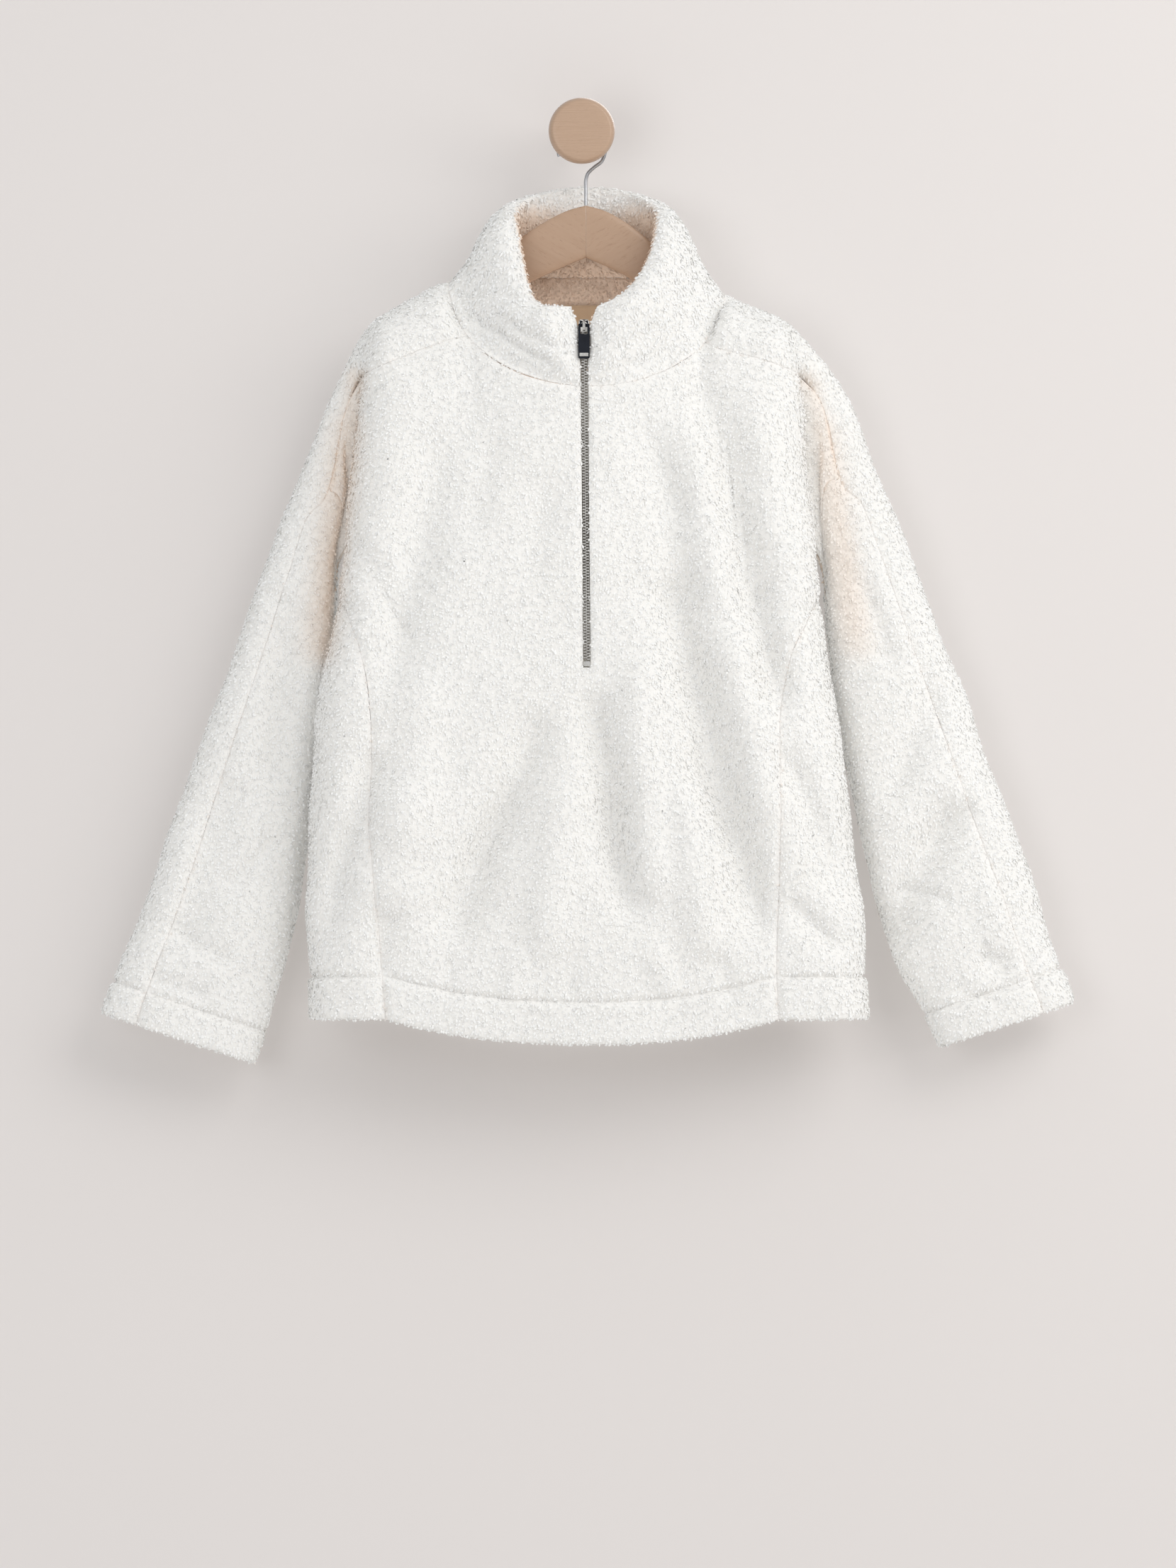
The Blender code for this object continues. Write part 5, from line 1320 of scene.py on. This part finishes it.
make_front()
make_back()
for side, word in SIDES.items():
    make_sides(side, word)
make_collar()

# %% [markdown]
# The hard parts are small, and their charm is in their edges. Each is a row of rings carried
# along a line or round an axis, with close rings where an edge is rounded, and both ends drawn
# together to a point so that it is closed. One function makes the mesh of them all.

# %% Ringed bodies


def closed_round(grid):
    """Points and triangles of a grid whose last column joins its first, turned so that the
    volume inside is positive."""
    points, tris = weld([(np.concatenate([grid, grid[:, :1]], axis=1), None)])
    return points, tris if volume_of(points, tris) > 0 else tris[:, ::-1]


def ringed(rings):
    """A closed body: the rings in order, each joined to the next, with the first and last drawn
    to their own middles."""
    rings = np.asarray(rings, float)
    ends = [np.broadcast_to(rings[i].mean(axis=0), rings[i].shape)[None] for i in (0, -1)]
    return closed_round(np.concatenate([ends[0], rings, ends[1]]))


def at_level(outline, level):
    """A ring: an outline in the XY plane, raised to one z."""
    return np.concatenate([outline, np.full((len(outline), 1), level)], axis=1)


def rounded(half_x, half_y, corner, steps=4):
    """An oblong's outline with round corners: four quarter circles in order."""
    turn = np.concatenate([np.linspace(i, i + 1, steps) * np.pi / 2 for i in range(4)])
    middle = np.repeat([(1, 1), (-1, 1), (-1, -1), (1, -1)], steps, axis=0)
    away = middle * (half_x - corner, half_y - corner)
    return away + corner * np.stack([np.cos(turn), np.sin(turn)], axis=1)


def lathe(profile, segments):
    """Rings about the Y axis from rows of radius and y."""
    turn = np.arange(segments) * 2 * np.pi / segments
    radius, y = np.asarray(profile, float).T[:, :, None]
    return np.stack([radius * np.cos(turn), y + 0 * turn, radius * np.sin(turn)], axis=-1)


def tube(path, radius, segments=16):
    """Rings of a round wire along a line in the XZ plane: across the line and along Y."""
    along = unit(np.gradient(path, axis=0))
    across = np.stack([-along[:, 2], 0 * along[:, 0], along[:, 0]], axis=1)
    turn = (np.arange(segments) * 2 * np.pi / segments)[None, :, None]
    return path[:, None] + radius * (
        np.cos(turn) * across[:, None] + np.sin(turn) * np.array((0.0, 1.0, 0.0))
    )


def hard_piece(name, parts, look, nodes, body=BODY_NAME, sharp=35):
    """One piece from several closed bodies, in the place of its CAD nodes."""
    points, faces, start = [], [], 0
    for some_points, some_faces in parts:
        points.append(some_points)
        faces.append(some_faces + start)
        start += len(some_points)
    piece = put_mesh(name, np.concatenate(points), np.concatenate(faces), look, sharp=sharp)
    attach(piece, body)
    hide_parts(*nodes)
    print(f"{name}: {sum(len(f) for f in faces)} triangles")


# %% [markdown]
# Beech is pale and close grained, with short darker flecks along the grain. A node group makes it
# from two stretched noises and a wave. The grain has to run along each sloping arm and across the
# disc, so a Mapping node turns it in each material. The metals share a worn look: faint fine
# scratches and darker hollows, which break up their shine.

# %% Finishes of the hard parts


def make_grain():
    """Colour share and height of the grain, for a place whose x runs along it."""
    tree, given, out = group("beech_grain", (
        ("Place", "Vector", (0, 0, 0)), ("Ring", "Float", 1.0),
    ), (("Grain", "Float"), ("Fleck", "Float"), ("Height", "Float")))
    place = given.outputs["Place"]
    long = node(tree, "Mapping", {"Vector": place, "Scale": (6, 60, 60)}).outputs[0]
    rings = node(tree, "TexNoise", {"Vector": long, "Scale": 3.0, "Detail": 4.0})
    wave = node(tree, "TexWave", {
        "Vector": long, "Scale": 1.1, "Distortion": 5.0, "Detail": 3.0, "Detail Scale": 1.4,
    }, bands_direction="Z")
    short = node(tree, "Mapping", {"Vector": place, "Scale": (170, 900, 900)}).outputs[0]
    flecks = node(tree, "TexNoise", {"Vector": short, "Scale": 1.0, "Detail": 2.0})
    fleck = node(tree, "MapRange", {
        "Value": flecks.outputs[0], "From Min": 0.6, "From Max": 0.74,
    }).outputs[0]
    ringed_tone = sums(tree, "MULTIPLY", wave.outputs["Fac"], given.outputs["Ring"])
    tone = weighed(tree, rings.outputs[0], 0.6, ringed_tone, 0.4)
    height = sums(tree, "SUBTRACT", tone, fleck)
    for word, value in (("Grain", tone), ("Fleck", fleck), ("Height", height)):
        tree.links.new(value, out.inputs[word])
    return tree


def make_worn():
    """Wear: fine scratches over slow smudges, as one share."""
    tree, given, out = group("worn_metal", (("Scale", "Float", 900.0),), (("Wear", "Float"),))
    place = node(tree, "TexCoord").outputs["Object"]
    fine_marks = node(tree, "TexNoise", {
        "Vector": place, "Scale": given.outputs["Scale"], "Detail": 5.0, "Roughness": 0.7,
    })
    smudge = node(tree, "TexNoise", {"Vector": place, "Scale": 120.0, "Detail": 2.0})
    wear = sums(tree, "MULTIPLY", fine_marks.outputs[0], smudge.outputs[0])
    tree.links.new(sums(tree, "MULTIPLY", wear, 2.2), out.inputs["Wear"])
    return tree


GRAIN, WORN = make_grain(), make_worn()
BEECH = ((0.43, 0.28, 0.185, 1), (0.54, 0.375, 0.265, 1), (0.33, 0.20, 0.125, 1))  # and flecks


def make_beech(name, turn, middle=(0, 0, 0), rings=0.12, fine=1.0):
    """Beech with its grain turned in the XZ plane: two tones by the grain, with darker flecks."""
    made, tree, shader = finish(name, 0.42, coat=0.15)
    place = node(tree, "TexCoord").outputs["Object"]
    turned = node(tree, "Mapping", {
        "Vector": place, "Location": middle, "Rotation": (0, turn, 0), "Scale": (1, 1, fine),
    }).outputs[0]
    grain = use(tree, GRAIN, Ring=rings)
    tree.links.new(turned, grain.inputs["Place"])
    colour = blend_colours(tree, grain.outputs["Grain"], BEECH[0], BEECH[1])
    colour = blend_colours(tree, scaled(tree, grain.outputs["Fleck"], 0, 0.4), colour, BEECH[2])
    tree.links.new(colour, shader.inputs["Base Color"])
    tree.links.new(scaled(tree, grain.outputs["Grain"], 0.5, 0.34), shader.inputs["Roughness"])
    add_bump(tree, shader, grain.outputs["Height"], 0.25, 0.0004)
    return made


def make_metal(name, dark, pale, low, high, metallic=1.0):
    """Metal or enamel: darker and rougher, from low to high, the more it is worn."""
    made, tree, shader = finish(name, metallic=metallic)
    wear = use(tree, WORN, Scale=900.0).outputs["Wear"]
    tree.links.new(blend_colours(tree, wear, pale, dark), shader.inputs["Base Color"])
    tree.links.new(scaled(tree, wear, low, high), shader.inputs["Roughness"])
    add_bump(tree, shader, wear, 0.15, 0.0002)
    return made


def make_woven(name, thread, gap, pitch):
    """Cloth of crossing threads: two waves, one along x and one along z."""
    made, tree, shader = finish(name, 0.85, sheen=0.15)
    place = node(tree, "TexCoord").outputs["Object"]
    waves = [
        node(tree, "TexWave", {"Vector": place, "Scale": pitch, "Distortion": 0.3},
             bands_direction=way).outputs["Fac"] for way in "XZ"
    ]
    weave = sums(tree, "MULTIPLY", *waves)
    slow = node(tree, "TexNoise", {"Vector": place, "Scale": 90.0, "Detail": 3.0}).outputs[0]
    tone = weighed(tree, weave, 0.7, slow, 0.3)
    tree.links.new(blend_colours(tree, tone, gap, thread), shader.inputs["Base Color"])
    add_bump(tree, shader, weave, 0.5, 0.0003)
    return made


ARM_SLOPE = math.atan2(96.0, 166.0)
ARM_WOOD = {side: make_beech("beech_" + word, side * ARM_SLOPE) for side, word in SIDES.items()}
DISC_WOOD = make_beech("beech_disc", 0.06, (0.3, 0, 0.1), 1.2, 4.2)
WIRE = make_metal("hook_steel", (0.28, 0.28, 0.29, 1), (0.62, 0.62, 0.63, 1), 0.22, 0.42)
SILVER = make_metal("zip_silver", (0.34, 0.32, 0.3, 1), (0.9, 0.89, 0.86, 1), 0.2, 0.4)
ENAMEL = make_metal(
    "pull_enamel", (0.004, 0.005, 0.009, 1), (0.012, 0.015, 0.024, 1), 0.4, 0.6, 0.0
)
ENAMEL.node_tree.nodes["Principled BSDF"].inputs["Specular IOR Level"].default_value = 0.22
TAPE_CLOTH = make_woven("tape_cotton", (0.84, 0.81, 0.75, 1), (0.58, 0.54, 0.47, 1), 800.0)
RIBBON = make_woven("ribbon_tan", (0.86, 0.68, 0.49, 1), (0.56, 0.41, 0.27, 1), 620.0)

# %% [markdown]
# The hanger is two arms that meet in a mitre, sawn flat and rounded over, with a drawn steel wire
# for its hook. The peg's disc is turned from the same wood, with a full round rim, and its steel
# stem ends in a small foot on the wall.

# %% Hanger and peg
HANGER_X = 3.5
HANGER = (
    # out, left top, right top, height, half thickness
    (0.15, -62.5, -62.5, 44, 6), (16, -67, -67, 46, 6), (34, -76, -77, 45, 6),
    (50, -86, -89, 43, 6.5), (75, -107, -113, 38, 6.5), (98, -125, -133, 32, 6.5),
    (117, -134, -144.5, 28, 7), (136, -142, -151, 26, 7), (152, -150, -157, 24, 7),
    (166, -158.5, -164.5, 20, 7),
)
HOOK_RADIUS, HOOK_WIRE, STEM_RADIUS, CLEAR = 20.0, 1.5, 4.0, 0.3
HOOK_SHANK = ((0, -62.2), (0, -50), (0, -41), (1.6, -35.5), (7, -30))
HOOK_TURN = (-32, 206)
PEG_RADIUS, PEG_FRONT, PEG_BACK, PEG_ROUND = 28.0, -83.0, -63.0, 4.5
FOOT_RADIUS, FOOT_DEPTH = 10.0, 4.0


def make_arm(side, word):
    """Rings of a rounded outline at finer places along the arm, drawn in at both its ends."""
    table = np.array(HANGER)
    knots = table[:, 0]
    at = np.concatenate([[0.06, 0.3, 1.2], np.linspace(3, 160, 46), [163, 164.8, 165.7, 166]])
    pick = 1 if side < 0 else 2
    foot = look(np.stack([knots, table[:, pick] - table[:, 3]], axis=1), at)
    table = glide(table, knots, at)
    top = table[:, pick]
    height, half = (top - foot) / 2, table[:, 4]
    inset = np.interp(at, (0.06, 0.3, 161, 164.5, 165.6, 166), (0.12, 0, 0, 0.9, 2.2, 3.6))
    outline = rounded(1.0, 1.0, 0.42, 7)
    x = HANGER_X + side * at[:, None] + 0 * outline[None, :, 0]
    y = CREST_Y + (half - inset)[:, None] * outline[None, :, 0]
    z = (top - height)[:, None] + (height - inset)[:, None] * outline[None, :, 1]
    hard_piece(
        "beech_arm_" + word, [ringed(np.stack([x, y, z], axis=-1))], ARM_WOOD[side],
        ["hanger_arm_" + word],
    )


def make_hook():
    """A wire: straight out of the wood, an easy bend, and most of a circle over the stem."""
    centre = STEM_RADIUS + CLEAR + HOOK_WIRE - HOOK_RADIUS
    turn = np.radians(np.arange(*HOOK_TURN, 7))
    bow = np.stack([HOOK_RADIUS * np.cos(turn), 0 * turn, centre + HOOK_RADIUS * np.sin(turn)], 1)
    shank = np.array([(HANGER_X + out, 0.0, z) for out, z in HOOK_SHANK])
    route = np.concatenate([shank, bow])
    route[:, 1] = CREST_Y
    steps = np.linalg.norm(np.diff(route, axis=0), axis=1)
    knots = np.concatenate([[0.0], np.cumsum(steps)])
    path = glide(route, knots, np.linspace(0, knots[-1], 120))
    hard_piece(
        "wire_hook", [ringed(tube(path, HOOK_WIRE, 14))], WIRE, ["hanger_hook"]
    )


def make_peg():
    """The disc and its stem, both turned about Y: the disc's rim is half an oval in section."""
    turn = np.linspace(0, np.pi, 15)
    edge = np.stack([
        PEG_RADIUS - PEG_ROUND + PEG_ROUND * np.sin(turn),
        mix(PEG_FRONT, PEG_BACK, (1 - np.cos(turn)) / 2),
    ], axis=1)
    face = np.array(((8.0, PEG_FRONT), (16.0, PEG_FRONT)))
    back = np.array(((16.0, PEG_BACK), (8.0, PEG_BACK)))
    disc = lathe(np.concatenate([face, edge, back]), 96)
    hard_piece("beech_disc", [ringed(disc)], DISC_WOOD, ["peg_disc"], sharp=60)
    stem = (
        (FOOT_RADIUS, 0), (FOOT_RADIUS, 1.4 - FOOT_DEPTH), (FOOT_RADIUS - 0.4, 0.5 - FOOT_DEPTH),
        (FOOT_RADIUS - 1.4, -FOOT_DEPTH), (STEM_RADIUS + 0.8, -FOOT_DEPTH),
        (STEM_RADIUS, -FOOT_DEPTH - 0.8), (STEM_RADIUS, PEG_BACK + CLEAR),
    )
    hard_piece("steel_stem", [ringed(lathe(stem, 48))], WIRE, ["peg_stem"])


for side, word in SIDES.items():
    make_arm(side, word)
make_hook()
make_peg()

# %% [markdown]
# The zip is closed up into the collar. Its teeth are small cast blocks that alternate from side
# to side along the tape, so they are one block repeated as an array. The slider is a waisted shell
# with a dark face and two bright straps crossed over it, and the pull is a flat enamelled plate
# that hangs from a small arch. The pull is a piece of its own, because it swings.

# %% Zip
SLIDER_TOP, SLIDER_HEIGHT, SLIDER_DEPTH = -161.0, 11.0, 2.4
SLIDER_LEVELS = np.array((
    # height above the slider's foot, half width
    (0, 2.6), (0.5, 3.3), (1.5, 3.7), (5, 4.3), (8.4, 4.6), (10, 4.1), (11, 2.6),
))
STRAP_RADIUS = 0.55
ARCH_HALF, ARCH_RISE, ARCH_INNER_RISE, ARCH_THICK = 1.1, 3.4, 2.5, 1.1
PLATE_HALF, PLATE_HIGH, PLATE_LOW = 4.8, 0.65, -28.85   # from the hinge
WINDOW_HALF, WINDOW_HIGH, WINDOW_LOW = 3.2, -0.65, -8.25
PLATE_DEEP, PLATE_BEVEL, WINDOW_BEVEL = 0.65, 0.25, 0.2
END_PLATE = (3.7, 0.3, 1.45)            # half sizes
END_PLATE_PLACE = (0, -1.05, -25.45)    # its middle, from the hinge
STOP_Z = -450.8
ZIP_LINE = np.concatenate([
    (FRONTS[1][0][ZIP_END_ROW::-1, 0] + FRONTS[-1][0][ZIP_END_ROW::-1, 0]) / 2,
    (COLLAR[1:, 0] + COLLAR[1:, -1]) / 2,
])
TOOTH_PITCH = 2.4
CHAIN_LOW, CHAIN_TOP = -447.0, -173.0


def on_zip(z):
    """Points of the slit's middle at heights, on the inner face of the cloth."""
    return np.stack([zip_x(z), np.interp(z, ZIP_LINE[:, 2], ZIP_LINE[:, 1]), z], axis=-1)


def block(half_x, half_y, half_z, corner, bevel):
    """A rounded slab standing on z: its first and last rings are drawn in by the bevel."""
    levels = ((-half_z, bevel), (bevel - half_z, 0), (half_z - bevel, 0), (half_z, bevel))
    rings = []
    for level, inset in levels:
        outline = rounded(half_x - inset, half_y - inset, max(corner - inset, 0.02), 2)
        rings.append(at_level(outline, level))
    return ringed(rings)


def make_teeth():
    """A tooth is a block that gets thinner towards the middle of the chain; copies of it stand a
    pitch apart, and the other side's are turned round and half a pitch higher."""
    points, faces = block(1.55, 1.05, 0.72, 0.35, 0.22)
    points[:, 2] *= mix(1.0, 0.72, np.clip(0.5 - points[:, 0] / 3.1, 0, 1))
    every = np.arange(CHAIN_LOW, CHAIN_TOP, TOOTH_PITCH)
    parts = []
    for side, shift in ((1, 0.0), (-1, TOOTH_PITCH / 2)):
        place = on_zip(every + shift) + (side * 1.05, -1.15, 0.0)
        turned_points = points * (side, side, 1)
        whole = (place[:, None] + turned_points[None]).reshape(-1, 3)
        index = faces[None] + len(points) * np.arange(len(place))[:, None, None]
        parts.append((whole, index.reshape(-1, 3)))
    hard_piece("zip_teeth", parts, SILVER, ["zip_chain"])


def slab(middle, half_x, half_y, half_z, corner, bevel, tilt=0.0):
    """A block laid with its thickness along y and turned in its own plane."""
    points, faces = block(half_x, half_z, half_y, corner, bevel)
    points = points[:, [0, 2, 1]] * (1, -1, 1)
    x = points[:, 0] * math.cos(tilt) - points[:, 2] * math.sin(tilt)
    z = points[:, 0] * math.sin(tilt) + points[:, 2] * math.cos(tilt)
    return np.stack([x, points[:, 1], z], axis=1) + middle, faces


def make_slider():
    """The slider's body is rings of rounded oblongs, its straps are bent wires from corner to
    corner, and its arch is a strip between two half ovals. Gives the hinge of the pull."""
    place = on_zip(np.array(SLIDER_TOP))
    middle = place + (0, -2.2, 0)
    rings = []
    for up, half in SLIDER_LEVELS:
        depth = SLIDER_DEPTH if 0.4 < up < 10.5 else 1.7
        rings.append(at_level(rounded(half, depth, 0.9, 4), up - SLIDER_HEIGHT) + middle)
    hard_piece("zip_slider_body", [ringed(rings)], SILVER, ["zip_slider"])
    face = middle + (0, -2.5, -3.4)
    hard_piece(
        "zip_slider_face", [slab(face, 3.6, 0.3, 3.1, 0.6, 0.15)], ENAMEL,
        ["zip_slider"],
    )
    turn = np.linspace(0, 1, 9)[:, None]
    straps = []
    for side in (-1, 1):
        path = face + side * np.concatenate([
            mix(-3.4, 5.2, turn), 0 * turn, side * mix(2.9, -3.3, turn ** 1.6),
        ], axis=1) + (0, -0.65, 0)
        straps.append(ringed(tube(path, STRAP_RADIUS, 8)))
    hard_piece("zip_slider_cross", straps, SILVER, ["zip_slider"])
    front, low = middle[1] - SLIDER_DEPTH, SLIDER_TOP - SLIDER_HEIGHT + 1.2
    high, x = SLIDER_TOP - 1.6, place[0]
    turn = np.linspace(0, np.pi, 15)[:, None]
    half_way = (low + high) / 2
    reach = (high - low) / 2
    bow = np.sin(turn) ** 0.6
    outer = (half_way - reach * np.cos(turn), front - 0.3 - ARCH_RISE * bow)
    inner = (half_way - (reach - ARCH_THICK) * np.cos(turn), front - 0.3 - ARCH_INNER_RISE * bow)
    ring = [
        np.concatenate([x + side * ARCH_HALF + 0 * turn, y, z], axis=1)
        for side, (z, y) in ((-1, outer), (1, outer), (1, inner), (-1, inner))
    ]
    hard_piece(
        "zip_arch", [ringed(np.stack(ring, axis=1))], SILVER, ["zip_bridge"]
    )
    return np.array((x, front - 1.3, SLIDER_TOP - 4.2))


def plate_with_window(hinge):
    """A ring round a window: an outline and a hole, each drawn in at the front and back by the
    bevel, joined round the section: outer wall, back face, hole's wall, front face."""
    deep, bevel, flare = PLATE_DEEP, PLATE_BEVEL, WINDOW_BEVEL
    loops = []
    for y, inset, grow in (
        (-deep, bevel, None), (bevel - deep, 0, None), (deep - bevel, 0, None),
        (deep, bevel, None), (deep, None, flare), (deep - flare, None, 0),
        (flare - deep, None, 0), (-deep, None, flare),
    ):
        if grow is None:
            size = (PLATE_HALF - inset, (PLATE_HIGH - PLATE_LOW) / 2 - inset)
            outline, z = rounded(*size, 1.3 - inset, 6), (PLATE_HIGH + PLATE_LOW) / 2
        else:
            size = (WINDOW_HALF + grow, (WINDOW_HIGH - WINDOW_LOW) / 2 + grow)
            outline, z = rounded(*size, 1.1 + grow, 6), (WINDOW_HIGH + WINDOW_LOW) / 2
        x, up = outline[:, 0], outline[:, 1] + z
        loops.append(np.stack([x, 0 * x + y, up], axis=1))
    return closed_round(np.stack(loops + loops[:1], axis=0) + hinge)


def make_pull(hinge):
    """The plate with its window, and a bright end plate on its face near the foot, left bare."""
    hard_piece(
        "pull_enamel_plate", [plate_with_window(hinge)], ENAMEL, ["pull_plate"],
        PULL_NAME,
    )
    foot = hinge + END_PLATE_PLACE
    hard_piece(
        "pull_bright_end", [slab(foot, *END_PLATE, 0.35, 0.12)], SILVER,
        ["pull_end_plate"], PULL_NAME,
    )


def make_stop():
    """A rounded block over the foot of the chain."""
    place = on_zip(np.array(STOP_Z)) + (0, -1.2, 0)
    hard_piece(
        "zip_stop", [slab(place, 3.0, 1.5, 2.2, 0.8, 0.4)], SILVER,
        ["zip_bottom_stop"],
    )


make_teeth()
HINGE = make_slider()
make_pull(HINGE)
make_stop()
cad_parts["zip_tape"].material_slots[0].material = TAPE_CLOTH
print("pull hinge:", HINGE.round(2))

# %% [markdown]
# The label inside the neck is a woven ribbon on the back panel, left bare. Its middle stands a
# touch proud of its ends, as a stitched ribbon's does.

# %% Label
LABEL_FACE, LABEL_BACK = 1.6, 1.4       # how far its front and back stand off the cloth's line
LABEL_CROWN = (0.3, 0.6)                # at its edge, and how much more in the middle


def make_label():
    """A ribbon on the back panel's inner face: a grid between the label's four corners, thickest
    in the middle, with its front moved out and both faces joined round the edge."""
    low, high = label_box()
    u, v = np.meshgrid(np.linspace(0, 1, 33), np.linspace(0, 1, 21))
    cloth = back_fine.reshape(-1, 3)
    x = mix(low[0] + 1, high[0] - 1, u)
    z = mix(high[2] - 0.5, low[2] + 0.5, v)
    place = np.stack([x, z], axis=-1).reshape(-1, 2)
    near = cloth[(np.abs(cloth[:, 0]) < 60) & (cloth[:, 2] > -200)]
    apart = ((place[:, None] - near[None][..., [0, 2]]) ** 2).sum(axis=-1)
    weight = 1 / (apart + 4) ** 2
    y = (weight * near[None, :, 1]).sum(axis=1) / weight.sum(axis=1)
    base = np.stack([x, y.reshape(x.shape), z], axis=-1)
    rise = np.sqrt(np.clip(4 * u * (1 - u) * 4 * v * (1 - v), 0, 1))
    crown = LABEL_CROWN[0] + LABEL_CROWN[1] * rise
    face = base + np.stack([0 * x, -crown - LABEL_FACE, 0 * x], axis=-1)
    back = base + np.array((0, -LABEL_BACK, 0))
    wall = np.stack([
        np.concatenate([grid[0], grid[1:, -1], grid[-1, -2::-1], grid[-2:0:-1, 0]])
        for grid in (face, back)
    ], axis=0)
    wall = np.concatenate([wall, wall[:, :1]], axis=1)
    points, tris = weld([(face, (0, -1, 0)), (back, (0, 1, 0)), (wall, None)])
    hard_piece("ribbon_label", [(points, tris)], RIBBON, ["neck_label"])


make_label()

# %% [markdown]
# The size that every panel was cut to is worked out, as half its shell's surface. A hanging
# garment's cloth isn't stretched, so the cut is the size of what hangs.

for piece, furs in PIECES:
    cut = half_surface(piece)

# %% [markdown]
# The stage is a pale wall and floor, and soft light from round lamps: a key above and to the
# right, one from the side, a weaker fill from the left and one behind for the back. A very small
# one inside the neck stands for the light that comes through the cloth. The wall is clear from
# behind and neither shades nor lights the garment, so it can be looked at from all sides. The
# camera is far away with a long lens, because the tables were measured without perspective.

# %% Stage
FLOOR_Z, FLOOR_HALF = -1.35, 14
WALL_COLOUR = (0.755, 0.715, 0.695, 1)


def sheet_of(name, corners, look):
    """One flat four-cornered face of the stage."""
    mesh = bpy.data.meshes.new(name)
    mesh.from_pydata(corners, [], [(0, 1, 2, 3)])
    mesh.materials.append(look)
    made = bpy.data.objects.new(name, mesh)
    bpy.context.scene.collection.objects.link(made)
    return made


def make_plain(name, colour, clear=False):
    """Matt paint with a slow change of tone of three parts in a hundred, clear from behind if
    asked."""
    made, tree, shader = finish(name, 0.9)
    place = node(tree, "TexCoord").outputs["Object"]
    slow = node(tree, "TexNoise", {"Vector": place, "Scale": 1.3, "Detail": 4.0}).outputs[0]
    pale = tuple(min(1.0, value * 1.03) for value in colour[:3]) + (1,)
    tree.links.new(blend_colours(tree, slow, colour, pale), shader.inputs["Base Color"])
    if clear:
        out = tree.nodes["Material Output"]
        behind = node(tree, "NewGeometry").outputs["Backfacing"]
        glass = node(tree, "BsdfTransparent")
        both = node(tree, "MixShader", {0: behind})
        tree.links.new(shader.outputs[0], both.inputs[1])
        tree.links.new(glass.outputs[0], both.inputs[2])
        tree.links.new(both.outputs[0], out.inputs[0])
    return made


WALL = sheet_of(
    "wall", [(-4, 0.001, FLOOR_Z), (4, 0.001, FLOOR_Z), (4, 0.001, 3), (-4, 0.001, 3)],
    make_plain("wall_paint", WALL_COLOUR, clear=True),
)
for way in ("visible_diffuse", "visible_glossy", "visible_transmission", "visible_shadow"):
    setattr(WALL, way, False)
sheet_of(
    "floor",
    [(x * FLOOR_HALF, y * FLOOR_HALF, FLOOR_Z) for x, y in ((-1, -1), (1, -1), (1, 1), (-1, 1))],
    make_plain("floor_pale", (0.78, 0.76, 0.74, 1)),
)


def add_lamp(name, place, aim, size, power, colour=(1, 1, 1)):
    """A round lamp turned to its aim: its pitch from the drop to the aim, its heading from x y."""
    lamp = bpy.data.lights.new(name, "AREA")
    lamp.shape = "DISK"
    lamp.size, lamp.energy, lamp.color = size, power, colour
    made = bpy.data.objects.new(name, lamp)
    way = np.array(aim) - np.array(place)
    made.location = place
    made.rotation_euler = (
        math.atan2(math.hypot(way[0], way[1]), -way[2]), 0, math.atan2(way[1], way[0]) - math.pi / 2
    )
    bpy.context.scene.collection.objects.link(made)


AIM = (0.0, -0.06, -0.45)
add_lamp("key", (1.8, -2.6, 1.6), AIM, 2.2, 29, (1.0, 0.99, 0.975))
add_lamp("side", (2.6, -1.5, 0.4), AIM, 1.8, 17, (1.0, 0.99, 0.975))
add_lamp("neck", (0.004, -0.064, -0.25), (0.004, -0.025, -0.14), 0.04, 0.05, (1.0, 0.92, 0.86))
add_lamp("fill", (-1.4, -3.2, -0.3), AIM, 1.8, 15, (0.97, 0.985, 1.0))
add_lamp("rear", (0.8, 2.4, 1.0), AIM, 1.8, 20)
WORLD = bpy.data.worlds.new("soft_white")
WORLD.use_nodes = True
SKY = WORLD.node_tree.nodes["Background"].inputs
SKY["Color"].default_value, SKY["Strength"].default_value = (0.97, 0.985, 1.0, 1), 0.69
bpy.context.scene.world = WORLD
bpy.context.scene.view_settings.view_transform = "Standard"

CAMERA = bpy.data.objects.new("camera", bpy.data.cameras.new("camera"))
CAMERA.data.lens = 244.15
CAMERA.location = (0.0053, -9.06, -0.552)
CAMERA.rotation_euler = (math.pi / 2, 0, 0)
bpy.context.scene.collection.objects.link(CAMERA)
bpy.context.scene.camera = CAMERA
